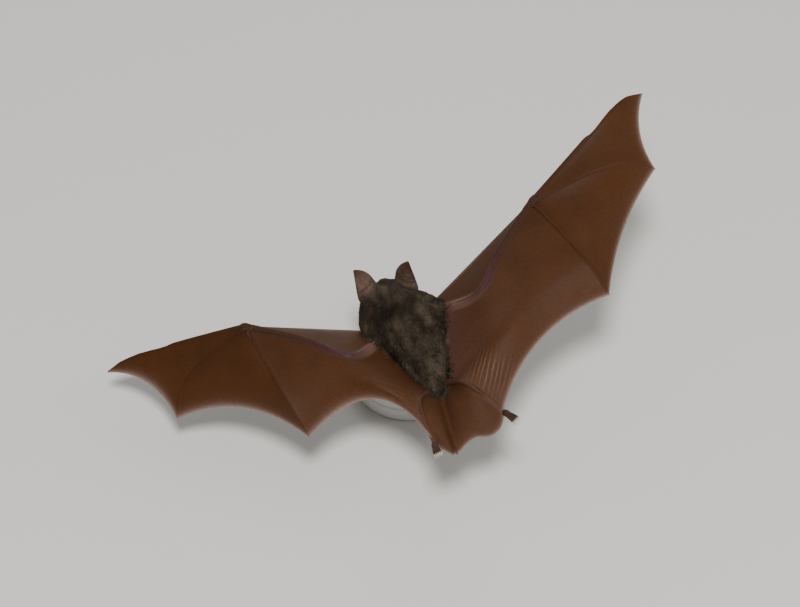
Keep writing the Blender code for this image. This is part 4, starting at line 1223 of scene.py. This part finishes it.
def ear_coat(side, rng):
    """Short fur over the foot of the ear's back."""
    grid, _, marks = ear_grid(side)
    along, _, opening = ear_axes(side)
    back = -np.sign((grid_normals(grid) @ (HEAD_TURN @ opening)).mean())
    weight = share_of((EAR_FUR_END + EAR_SHADE[side] * 1.3 - marks["chord"]) * 4)
    grids, lie = [(grid, back, weight)], HEAD_TURN @ along
    return sheet_coat("coat_ear_" + side, grids, lie, TUFTS_EAR, *EAR_FUR, rng)


def make_coat(wings, legs, tail):
    """The coat in pieces, each with its tufts lying from the nose to the tail."""
    rings, trunk_end, neck_end = body_rings()
    trunk = slice(0, trunk_end - SHOULDER_RINGS)
    shoulders = slice(trunk_end - SHOULDER_RINGS - SHOULDER_OVERLAP, neck_end + HEAD_OVERLAP)
    head = slice(neck_end - HEAD_OVERLAP, None)
    layout = (
        ("coat_back", trunk, TUFTS_ABOVE, 1),
        ("coat_shoulders", shoulders, TUFTS_ABOVE, 1),
        ("coat_belly", trunk, TUFTS_BELOW, -1),
        ("coat_breast", shoulders, TUFTS_BELOW, -1),
        ("coat_crown", head, TUFTS_ABOVE, 1),
        ("coat_throat", head, TUFTS_BELOW, -1),
    )
    for k, (name, span, count, face) in enumerate(layout):
        yield body_coat(rings, name, span, count, face, np.random.default_rng(SEEDS["body"] + k))
    for side, sign in SIGN.items():
        yield fringe_coat(side, wings[side], legs[side], tail, np.random.default_rng(SEEDS["fringe"] + sign))
    for side, sign in SIGN.items():
        yield ear_coat(side, np.random.default_rng(SEEDS["ear"] + sign))


# ---------------------------------------------------------------- materials

BODY_ANGLES = (math.radians(BODY_PITCH), math.radians(-BODY_BANK), 0)


class Nodes:
    """Short ways to add and join the nodes of one tree."""

    def __init__(self, tree):
        self.tree = tree

    def add(self, kind, inputs=None, **settings):
        node = self.tree.nodes.new(kind)
        for name, value in settings.items():
            setattr(node, name, value)
        for name, value in (inputs or {}).items():
            self.feed(node.inputs[name], value)
        return node

    def feed(self, socket, value):
        if isinstance(value, bpy.types.NodeSocket):
            self.tree.links.new(value, socket)
        elif socket.type == "RGBA" and len(value) == 3:
            socket.default_value = (*value, 1)
        else:
            socket.default_value = value

    def mark(self, name):
        return self.add("ShaderNodeAttribute", attribute_name=name).outputs["Fac"]

    def place(self):
        return self.add("ShaderNodeTexCoord").outputs["Object"]

    def math(self, operation, a, b=0.0, c=0.0):
        node = self.add("ShaderNodeMath", operation=operation)
        for socket, value in zip(node.inputs, (a, b, c)):
            self.feed(socket, value)
        return node.outputs[0]

    def mix(self, share, a, b):
        node = self.add("ShaderNodeMix", data_type="RGBA")
        self.feed(node.inputs[0], share)
        self.feed(node.inputs[6], a)
        self.feed(node.inputs[7], b)
        return node.outputs[2]

    def laid_over(self, colour, tone, mask, strength):
        """A colour with a tone laid over it where a mask shows, up to a given strength."""
        return self.mix(self.math("MULTIPLY", mask, strength), colour, tone)

    def ramp(self, value, low, high, to_low=0.0, to_high=1.0):
        sizes = {"From Min": low, "From Max": high, "To Min": to_low, "To Max": to_high}
        return self.add("ShaderNodeMapRange", {"Value": value, **sizes}).outputs[0]

    def tint(self, colour, factor):
        grey = self.add("ShaderNodeCombineColor", {"Red": factor, "Green": factor, "Blue": factor}).outputs[0]
        node = self.add("ShaderNodeMix", data_type="RGBA", blend_type="MULTIPLY")
        for socket, value in zip((node.inputs[0], node.inputs[6], node.inputs[7]), (1.0, colour, grey)):
            self.feed(socket, value)
        return node.outputs[2]

    def blob(self, place, centre, size):
        """A soft spot: 1 at a centre given in the body frame, falling to 0 at 1.7 times its size."""
        middle = self.add(
            "ShaderNodeVectorMath", {0: place, 1: tuple(body_to_world(centre))}, operation="SUBTRACT"
        )
        turned = self.add(
            "ShaderNodeVectorRotate", {"Vector": middle.outputs[0], "Rotation": BODY_ANGLES},
            rotation_type="EULER_XYZ", invert=True,
        )
        scale = tuple(1 / (s * MM) for s in size)
        scaled = self.add("ShaderNodeVectorMath", {0: turned.outputs[0], 1: scale}, operation="MULTIPLY")
        far = self.add("ShaderNodeVectorMath", {0: scaled.outputs[0]}, operation="LENGTH").outputs["Value"]
        shown = {"Value": far, "From Min": 1.7, "From Max": 0.2}
        return self.add("ShaderNodeMapRange", shown, interpolation_type="SMOOTHSTEP").outputs[0]

    def noise(self, vector, scale, detail=3.0):
        inputs = {"Vector": vector, "Scale": scale, "Detail": detail}
        return self.add("ShaderNodeTexNoise", inputs).outputs["Fac"]


def new_material(name, roughness, **constants):
    made = bpy.data.materials.new(name)
    made.use_nodes = True
    shader = made.node_tree.nodes["Principled BSDF"]
    shader.inputs["Roughness"].default_value = roughness
    for socket, value in constants.items():
        shader.inputs[socket.replace("_", " ")].default_value = value
    return made, Nodes(made.node_tree), shader


COAT_TONES = {
    "Undercoat": (0.014, 0.0095, 0.0058),
    "Guard Hair": (0.041, 0.0285, 0.0175),
    "Grizzle": (0.082, 0.063, 0.043),
}
COAT_MARKS = {  # place in the body frame, size, and how much lighter or darker
    # painted shade: the dark fold between the raised head and the shoulders
    "painted shade at the nape": ((-5.5, 13.4, 7.5), (5.0, 2.7, 4.0), -0.85),
    "shoulder": ((-9.5, 9.5, 6.5), (2.5, 3.0, 4.0), -0.35),
    # painted shade beside the fold of the left arm
    "painted shade by the left arm": ((-9.5, 2.0, 4.0), (1.6, 6.0, 5.0), -0.2),
    "middle streak": ((-2.8, 4.5, 8.0), (1.7, 6.0, 4.0), 0.3),
    "right streak": ((6.8, 7.5, 7.0), (1.9, 6.0, 4.5), 0.45),
    # painted highlight: a pale glint on a fold at the right flank
    "painted highlight on the right flank": ((10.3, -3.0, 2.5), (1.1, 2.6, 3.5), 1.0),
    "rump": ((1.0, -15.0, 4.0), (3.2, 6.5, 3.5), 0.45),
    "crown": ((-5.0, 24.0, 8.0), (7.0, 4.0, 4.0), 0.22),
}
PATCHES_PER_METRE = 170.0
SKIN_STRAND = 0.3  # the skin under the coat is coloured as hair is at this share of its length
SKIN_TONES = {
    # the membrane's tone with painted shade by the arm, and with painted light by the free edge
    "membrane with painted shade by the arm": (0.024, 0.0070, 0.0012),
    "membrane with painted light by the free edge": (0.056, 0.0180, 0.0034),
    # the purple tone, which beside the trunk also paints light
    "purple flush with painted light": (0.078, 0.037, 0.025),
    "fibre": (0.15, 0.082, 0.045),
    "between fibres": (0.016, 0.006, 0.0025),
    "bone": (0.018, 0.006, 0.0025),
    # the edge's warmer band is partly painted light, and the rim a painted highlight over a paler hem
    "edge": (0.085, 0.04, 0.026),
    "rim": (0.29, 0.20, 0.17),
    "limb": (0.034, 0.013, 0.0065),
    # the elbow's and the upper arm's tones are partly painted highlight
    "elbow": (0.050, 0.018, 0.0225),
    "upper": (0.13, 0.070, 0.053),
    "foot": (0.046, 0.026, 0.020),
    "ear": (0.12, 0.072, 0.050),
    "ear tip": (0.062, 0.030, 0.019),
    "ear rim": (0.02, 0.009, 0.005),
    "ear bloom": (0.20, 0.145, 0.12),
    "nose": (0.035, 0.02, 0.016),
    "lid": (0.012, 0.007, 0.006),
}
# how strongly each tone lies over a membrane, and the limbs' and the ear rims' tones over what is under them
COVER = {
    **{"purple flush with painted light": 0.75, "fibre": 0.7, "between fibres": 0.5, "bone": 0.24, "edge": 0.35, "rim": 0.8},
    **{"limb": 0.85, "ear rim": 0.75},
}
NOISE_CORE = (0.3, 0.7)  # nearly all values of a noise lie between these
SKIN_NOISES = ((110.0, 4.0), (1600.0,), (420.0, 5.0))  # clouds, grain and creases: number a metre, and detail
CLOUD_DEPTH, PATCH_DEPTH = 0.16, 0.22  # how far clouds shift a membrane's tone, and patches the coat's
GRAIN_TINT, SKIN_ROUGHNESS = (0.84, 1.14), (0.5, 0.66)
FIBRE_STRETCH, FIBRE_WANDER = 0.12, 8.0
FROM_STRAND, FROM_TONE, FROM_LIGHT = 0.4, 0.5, 0.55  # what a tuft's colour follows, and how far
GRIZZLE_RANGE, COAT_TINT = (0.45, 1.15), (0.4, 1.75)
GRAINED = {  # two tones, the grains per metre and their detail, and the roughness or its range over the grain
    "eye": {
        "tones": ((0.004, 0.003, 0.003), (0.012, 0.008, 0.006)),
        "grain": (900.0, 3.0), "roughness": 0.05, "Specular_IOR_Level": 0.3,
    },
    "claw": {
        "tones": ((0.28, 0.21, 0.15), (0.62, 0.53, 0.42)),
        "grain": (3000.0, 4.0), "roughness": (0.2, 0.36), "Specular_IOR_Level": 0.5,
    },
    "whisker": {
        "tones": ((0.012, 0.009, 0.007), (0.05, 0.036, 0.026)),
        "grain": (1500.0, 3.0), "roughness": 0.4,
    },
    "base_paint": {
        "tones": ((0.56, 0.545, 0.51), (0.64, 0.63, 0.6)),
        "grain": (60.0, 4.0), "roughness": (0.4, 0.55), "peel": 1400.0,
    },
    "rod_steel": {
        "tones": ((0.46, 0.46, 0.47), (0.62, 0.62, 0.63)),
        "grain": (6000.0, 3.0), "roughness": (0.22, 0.4), "drawn": (1.0, 1.0, 0.02), "Metallic": 1.0,
    },
}


def coat_colour_group():
    """The coat's own marks and its painted shade and highlight, shared by the fur and the skin under it."""
    tree = bpy.data.node_groups.new("coat_colour", "ShaderNodeTree")
    for name in COAT_TONES:
        tree.interface.new_socket(name, in_out="INPUT", socket_type="NodeSocketColor")
    for name in ("Strand", "Tone", "Patch Size"):
        tree.interface.new_socket(name, in_out="INPUT", socket_type="NodeSocketFloat")
    tree.interface.new_socket("Color", in_out="OUTPUT", socket_type="NodeSocketColor")
    n = Nodes(tree)
    given = n.add("NodeGroupInput").outputs
    place = n.place()
    patches = n.noise(place, given["Patch Size"], 2.0)
    light = n.ramp(patches, *NOISE_CORE, -PATCH_DEPTH, PATCH_DEPTH)
    # the listed marks lighten or darken the coat: some are its own streaks, others painted shade and painted
    # highlight
    for centre, size, much in COAT_MARKS.values():
        light = n.math("ADD", light, n.math("MULTIPLY", n.blob(place, centre, size), much))
    toned = n.math("MULTIPLY", given["Tone"], FROM_TONE)
    along = n.math("MULTIPLY_ADD", given["Strand"], FROM_STRAND, toned)
    base = n.math("ADD", along, n.math("MULTIPLY", light, FROM_LIGHT))
    grizzle = n.ramp(n.math("ADD", given["Tone"], light), *GRIZZLE_RANGE)
    grey = n.math("MULTIPLY", grizzle, given["Strand"])
    coloured = n.mix(grey, n.mix(base, given["Undercoat"], given["Guard Hair"]), given["Grizzle"])
    n.add("NodeGroupOutput", {"Color": n.tint(coloured, n.ramp(light, -1.0, 1.0, *COAT_TINT))})
    return tree


def coat_colour(n, group, strand, tone):
    inputs = {**COAT_TONES, "Strand": strand, "Tone": tone, "Patch Size": PATCHES_PER_METRE}
    return n.add("ShaderNodeGroup", inputs, node_tree=group).outputs["Color"]


def fur_material(group):
    made, n, shader = new_material("fur", 0.6, Specular_IOR_Level=0.16)
    n.feed(shader.inputs["Base Color"], coat_colour(n, group, n.mark("strand"), n.mark("tone")))
    return made


def membrane_fibres(n):
    """The pale elastic fibres beside the leg and the darker gaps between them, as masks."""
    fibre = n.mark("fibre")
    run = n.math("MULTIPLY", n.mark("fibre_run"), FIBRE_STRETCH)
    stretched = n.add("ShaderNodeCombineXYZ", {"X": fibre, "Y": run}).outputs[0]
    wander = n.math("MULTIPLY", n.noise(stretched, 0.45, 2.0), FIBRE_WANDER)
    lines = n.math("SINE", n.math("MULTIPLY_ADD", fibre, math.tau, wander))
    shown = n.math("MULTIPLY", n.mark("fibrous"), n.ramp(n.noise(stretched, 1.7, 1.0), 0.3, 0.6, 0.3, 1.0))
    return (
        n.math("MULTIPLY", n.ramp(lines, 0.35, 1.0), shown),
        n.math("MULTIPLY", n.ramp(lines, 0.0, -0.9), shown),
    )


def skin_material(group):
    """Bare wing, ear and limb skin, and the dark skin under the coat, told apart by marks."""
    made, n, shader = new_material("skin", 0.6, Specular_IOR_Level=0.14)
    place = n.place()
    cloud, grain, creases = (n.noise(place, *noise) for noise in SKIN_NOISES)
    chord, rim = n.mark("chord"), n.mark("rim")
    fibres, gaps = membrane_fibres(n)
    tones = SKIN_TONES

    # membranes: darkest in front of the arm, redder and paler towards the free edge, as painted shade and
    # painted light of the arched wing
    fade = n.math("ADD", n.ramp(chord, -1.2, 1.0), n.ramp(cloud, *NOISE_CORE, -CLOUD_DEPTH, CLOUD_DEPTH))
    colour = n.mix(fade, tones["membrane with painted shade by the arm"], tones["membrane with painted light by the free edge"])
    for tone, mask in (
        ("purple flush with painted light", n.mark("purple")),
        ("fibre", fibres),
        ("between fibres", gaps),
        ("bone", n.mark("bone")),
        ("edge", n.mark("edge")),
        ("rim", rim),
    ):
        colour = n.laid_over(colour, tones[tone], mask, COVER[tone])
    # limbs: thin skin, palest over the upper arm and purple beyond the elbow, both partly painted highlight
    limb = tones["limb"]
    for tone in ("elbow", "upper", "foot"):
        limb = n.mix(n.mark(tone), limb, tones[tone])
    colour = n.laid_over(colour, limb, n.mark("limb"), COVER["limb"])
    # ears: thin brown skin, darker at the rims and the tip, with a paler bloom; the right ear's extra
    # darkness is painted shade
    ear = n.mix(n.ramp(chord, 0.1, 1.0), tones["ear"], tones["ear tip"])
    ear = n.laid_over(ear, tones["ear rim"], rim, COVER["ear rim"])
    ear = n.mix(n.ramp(cloud, 0.5, 0.75, 0.0, 0.5), ear, tones["ear bloom"])
    colour = n.mix(n.mark("ear"), colour, ear)
    colour = n.mix(n.mark("coat"), colour, coat_colour(n, group, SKIN_STRAND, grain))
    for tone in ("nose", "lid"):
        colour = n.mix(n.mark(tone), colour, tones[tone])
    n.feed(shader.inputs["Base Color"], n.tint(colour, n.ramp(grain, *NOISE_CORE, *GRAIN_TINT)))
    n.feed(shader.inputs["Roughness"], n.ramp(cloud, *NOISE_CORE, *SKIN_ROUGHNESS))
    height = n.math("MULTIPLY_ADD", grain, 0.12, n.math("MULTIPLY", creases, 0.5))
    height = n.math("MULTIPLY_ADD", fibres, 0.6, height)
    bump = n.add("ShaderNodeBump", {"Height": height, "Strength": 0.55, "Distance": 0.00025})
    n.feed(shader.inputs["Normal"], bump.outputs["Normal"])
    return made


def grained_material(name, tones, grain, roughness, drawn=None, peel=0.0, **constants):
    """A finish whose tone, and roughness where that is a range, follow a grain. Paint has an orange peel."""
    ranged = isinstance(roughness, tuple)
    made, n, shader = new_material(name, roughness[0] if ranged else roughness, **constants)
    place = n.place()
    if drawn:
        place = n.add("ShaderNodeMapping", {"Vector": place, "Scale": drawn}).outputs[0]
    grains = n.noise(place, *grain)
    n.feed(shader.inputs["Base Color"], n.mix(grains, *tones))
    if ranged:
        n.feed(shader.inputs["Roughness"], n.ramp(grains, *NOISE_CORE, *roughness))
    if peel:
        height = n.noise(place, peel, 2.0)
        bump = n.add("ShaderNodeBump", {"Height": height, "Strength": 0.15, "Distance": 0.0002})
        n.feed(shader.inputs["Normal"], bump.outputs["Normal"])
    return made


# ---------------------------------------------------------------- eyes, claws and whiskers


def make_eye(side):
    """A smooth ball, a little fuller at its cornea."""
    axis = eye_axis(side)
    rows, sides = 32, 48
    polar = np.pi * np.arange(1, rows) / rows
    across, upward = across_axis(axis)
    cosine, sine = circle_shares(sides)
    bulge = EYE_RADIUS * (1 + CORNEA * bell(polar, 0, 0.7))
    circle = across * cosine + upward * sine
    place = on_side(side, EYE_PLACE) - axis * EYE_SUNK
    rings = place + (
        axis * (np.cos(polar) * bulge)[:, None, None]
        + circle[None] * (np.sin(polar) * bulge)[:, None, None]
    )
    front, back = place + axis * EYE_RADIUS * (1 + CORNEA), place - axis * EYE_RADIUS
    verts, quads, tris = closed_loft(head_to_body(rings), head_to_body(front), head_to_body(back))
    eye = new_piece("eyeball_" + side, verts, quads, tris)
    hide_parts("eye_" + side)
    return eye


WHISKERS = 26  # on each side
WHISKER_SEED, WHISKER_LENGTHS = 77, (1.4, 3.2)
WHISKER_PLACES, WHISKER_RISES = (12.6, 17.4), (-0.9, 0.7)  # forward of the pivot, and over the middle line
WHISKER_DROOP = (0, 0.5, 0.35)
CLAW_ROOTS = {"toe": (0.74, 0.66), "thumb": (0.8, 0.7)}  # a claw's root, and a place behind it, as shares
TOE_CLAW, THUMB_CLAW = (1.75, 70), (1.7, 75)  # length, and how far it curls in degrees


def hook(joints, shares, under, size):
    """The middle line of a claw that leaves a toe or thumb at the first of two shares and curls down."""
    length, curl = size
    root, before = on_curve(joints, np.array(shares))
    ahead = unit(root - before)
    down = unit(under - ahead * (under @ ahead))
    angle = np.linspace(0, 1, 9)[:, None] * math.radians(curl)
    return root + length * (ahead * np.sin(angle) + down * (1 - np.cos(angle))) / math.radians(curl)


def claw_lines(wings, legs):
    for side in SIGN:
        *_, up = foot_axes(legs[side])
        for k in range(TOES):
            yield hook(toe_points(legs[side], k), CLAW_ROOTS["toe"], -up, TOE_CLAW)
        yield hook(wings[side]["thumb"], CLAW_ROOTS["thumb"], -wings[side]["along"], THUMB_CLAW)


def whisker_lines():
    """Fine hairs that stand out from the sides of the muzzle and droop."""
    rng = np.random.default_rng(WHISKER_SEED)
    for sign in (-1, 1):
        for _ in range(WHISKERS):
            y, rise = rng.uniform(*WHISKER_PLACES), rng.uniform(*WHISKER_RISES)
            along = np.array([(y - 1.0) / 18.2 * 0.9 + 0.07])  # about where that is along the head's sections
            _, _, z, half, _, _, coat = between_rows(HEAD_SECTIONS, along)[0]
            root = np.array((sign * (half - coat - 0.1) * math.cos(rise * 0.8), y, z + rise))
            out = unit(np.array((sign * 1.0, rng.uniform(-0.5, 0.35), rise * 0.6 + rng.uniform(-0.15, 0.15))))
            length = rng.uniform(*WHISKER_LENGTHS)
            t = np.linspace(0, 1, 6)[:, None]
            droop = np.array(WHISKER_DROOP) * length * 0.5 * t**2
            yield head_to_body(root + out * length * t - droop)


def tapering_tree(material):
    """A tree that turns paths into tapering horns or hairs, from a root radius to a tip radius."""
    tree = bpy.data.node_groups.new("tapering_" + material.name, "GeometryNodeTree")
    face = tree.interface
    face.new_socket("Paths", in_out="INPUT", socket_type="NodeSocketGeometry")
    sizes = {}
    for name in ("Root Radius", "Tip Radius", "Taper", "Sides"):
        kind = "NodeSocketInt" if name == "Sides" else "NodeSocketFloat"
        sizes[name] = face.new_socket(name, in_out="INPUT", socket_type=kind).identifier
    face.new_socket("Made", in_out="OUTPUT", socket_type="NodeSocketGeometry")
    n = Nodes(tree)
    given = n.add("NodeGroupInput").outputs
    along = n.add("GeometryNodeSplineParameter").outputs["Factor"]
    taper = n.math("POWER", along, given["Taper"])
    ends = {"To Min": given["Root Radius"], "To Max": given["Tip Radius"]}
    size = n.add("ShaderNodeMapRange", {"Value": taper, **ends}).outputs[0]
    circle = n.add("GeometryNodeCurvePrimitiveCircle", {"Radius": 1.0, "Resolution": given["Sides"]})
    swept = {"Curve": given["Paths"], "Profile Curve": circle.outputs["Curve"]}
    made = n.add("GeometryNodeCurveToMesh", {**swept, "Scale": size, "Fill Caps": True}).outputs["Mesh"]
    for kind in ("GeometryNodeSetShadeSmooth", "GeometryNodeRealizeInstances"):
        made = n.add(kind, {"Geometry": made}).outputs["Geometry"]
    made = n.add("GeometryNodeSetMaterial", {"Geometry": made, "Material": material}).outputs["Geometry"]
    n.add("NodeGroupOutput", {"Made": made})
    return tree, sizes


def make_tapering(name, lines, material, **values):
    """One mesh of horns or hairs along their lines, given in the body frame."""
    data = bpy.data.curves.new(name + "_paths", "CURVE")
    data.dimensions = "3D"
    for line in lines:
        spline = data.splines.new("POLY")
        spline.points.add(len(line) - 1)
        for point, place in zip(spline.points, body_to_world(line)):
            point.co = (*place, 1)
    paths = bpy.data.objects.new(name + "_paths", data)
    bpy.context.scene.collection.objects.link(paths)
    tree, sizes = tapering_tree(material)
    modifier = paths.modifiers.new("taper", "NODES")
    modifier.node_group = tree
    for socket, value in values.items():
        modifier[sizes[socket.replace("_", " ")]] = value
    made = bpy.data.meshes.new_from_object(paths.evaluated_get(bpy.context.evaluated_depsgraph_get()))
    made.name = name
    bpy.data.objects.remove(paths)
    piece = bpy.data.objects.new(name, made)
    bpy.context.scene.collection.objects.link(piece)
    return piece


# ---------------------------------------------------------------- assembly

SHARP_ANGLE = math.radians(50)
CLAW_SIZES = {"Root_Radius": 0.3 * MM, "Tip_Radius": 0.03 * MM, "Taper": 1.3, "Sides": 10}
WHISKER_SIZES = {"Root_Radius": 0.045 * MM, "Tip_Radius": 0.008 * MM, "Taper": 1.0, "Sides": 4}


def finish_piece(piece, material):
    piece.data.materials.clear()
    piece.data.materials.append(material)
    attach(piece, "root")


wings = {side: wing_joints(side) for side in SIGN}
legs = {side: leg_joints(side) for side in SIGN}
tail = chain(RUMP, TAIL_BONES, [(TAIL_SWEEP, rise) for rise in TAIL_RISES], "right")

coat_marks_and_painted_light = coat_colour_group()
skin = make_skin(wings, legs, tail)
skin.data.set_sharp_from_angle(angle=SHARP_ANGLE)
finish_piece(skin, skin_material(coat_marks_and_painted_light))
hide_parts(*[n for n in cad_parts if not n.startswith(("stand_", "eye_"))])
fur = fur_material(coat_marks_and_painted_light)
for piece in make_coat(wings, legs, tail):
    finish_piece(piece, fur)
eye_finish = grained_material("eye", **GRAINED["eye"])
for side in SIGN:
    finish_piece(make_eye(side), eye_finish)
claw_finish = grained_material("claw", **GRAINED["claw"])
claws = make_tapering("claws", claw_lines(wings, legs), claw_finish, **CLAW_SIZES)
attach(claws, "root")
whisker_finish = grained_material("whisker", **GRAINED["whisker"])
whiskers = make_tapering("whiskers", whisker_lines(), whisker_finish, **WHISKER_SIZES)
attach(whiskers, "root")
for node, finish in (("stand_base", "base_paint"), ("stand_rod", "rod_steel")):
    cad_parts[node].data.materials.clear()
    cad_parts[node].data.materials.append(grained_material(finish, **GRAINED[finish]))


# ---------------------------------------------------------------- floor, light and camera

CAMERA_AZIMUTH, CAMERA_ELEVATION, CAMERA_DISTANCE = -20.0, 52.0, 1.0
CAMERA_SHIFT = (-0.024625, 0.0555)  # in widths of the view
SENSOR, VIEW_WIDTH = 36.0, 276.0  # the view's width is at the bat
FLOOR_REACH, FLOOR_TONE, FLOOR_ROUGHNESS = 3.0, (0.62, 0.6, 0.56, 1), 0.85
LIGHTS = {  # the way from the bat to the lamp, its distance and width in metres, and its power
    "key": ((-0.154, -0.424, 0.888), 1.2, 0.18, 16),
    "fill": ((0.7, -0.3, 0.6), 1.4, 0.9, 4),
    "front": ((0.2, 0.9, 0.35), 1.4, 0.9, 7),
}
ROOM_LIGHT = 0.35


def aim(obj, towards):
    obj.rotation_euler = Vector(towards).to_track_quat("-Z", "Y").to_euler()


def make_floor():
    mesh = bpy.data.meshes.new("floor")
    corners = [(x * FLOOR_REACH, y * FLOOR_REACH, 0) for x, y in ((-1, -1), (1, -1), (1, 1), (-1, 1))]
    mesh.from_pydata(corners, [], [(0, 1, 2, 3)])
    floor = bpy.data.objects.new("floor", mesh)
    bpy.context.scene.collection.objects.link(floor)
    made, _, shader = new_material("floor_paint", FLOOR_ROUGHNESS)
    shader.inputs["Base Color"].default_value = FLOOR_TONE
    mesh.materials.append(made)


def make_light(name, towards, distance, size, power):
    data = bpy.data.lights.new(name, "AREA")
    data.shape = "DISK"
    data.size = size
    data.energy = power
    light = bpy.data.objects.new(name, data)
    bpy.context.scene.collection.objects.link(light)
    place = Vector(towards).normalized() * distance
    light.location = Vector(BODY_PLACE) * MM + place
    aim(light, -place)


def make_room_light():
    world = bpy.data.worlds.new("studio")
    world.use_nodes = True
    background = world.node_tree.nodes["Background"]
    background.inputs["Color"].default_value = (1, 1, 1, 1)
    background.inputs["Strength"].default_value = ROOM_LIGHT
    bpy.context.scene.world = world


def make_camera():
    azimuth, elevation = math.radians(CAMERA_AZIMUTH), math.radians(CAMERA_ELEVATION)
    level = math.cos(elevation)
    back = Vector((math.sin(azimuth) * level, -math.cos(azimuth) * level, math.sin(elevation)))
    data = bpy.data.cameras.new("camera")
    data.sensor_width = SENSOR
    data.lens = SENSOR * CAMERA_DISTANCE / (VIEW_WIDTH * MM)
    data.shift_x, data.shift_y = CAMERA_SHIFT
    data.clip_start, data.clip_end = 0.05, 20
    camera = bpy.data.objects.new("camera", data)
    bpy.context.scene.collection.objects.link(camera)
    camera.location = Vector(BODY_PLACE) * MM + back * CAMERA_DISTANCE
    aim(camera, -back)
    bpy.context.scene.camera = camera


make_floor()
for name, light in LIGHTS.items():
    make_light(name, *light)
make_room_light()
make_camera()
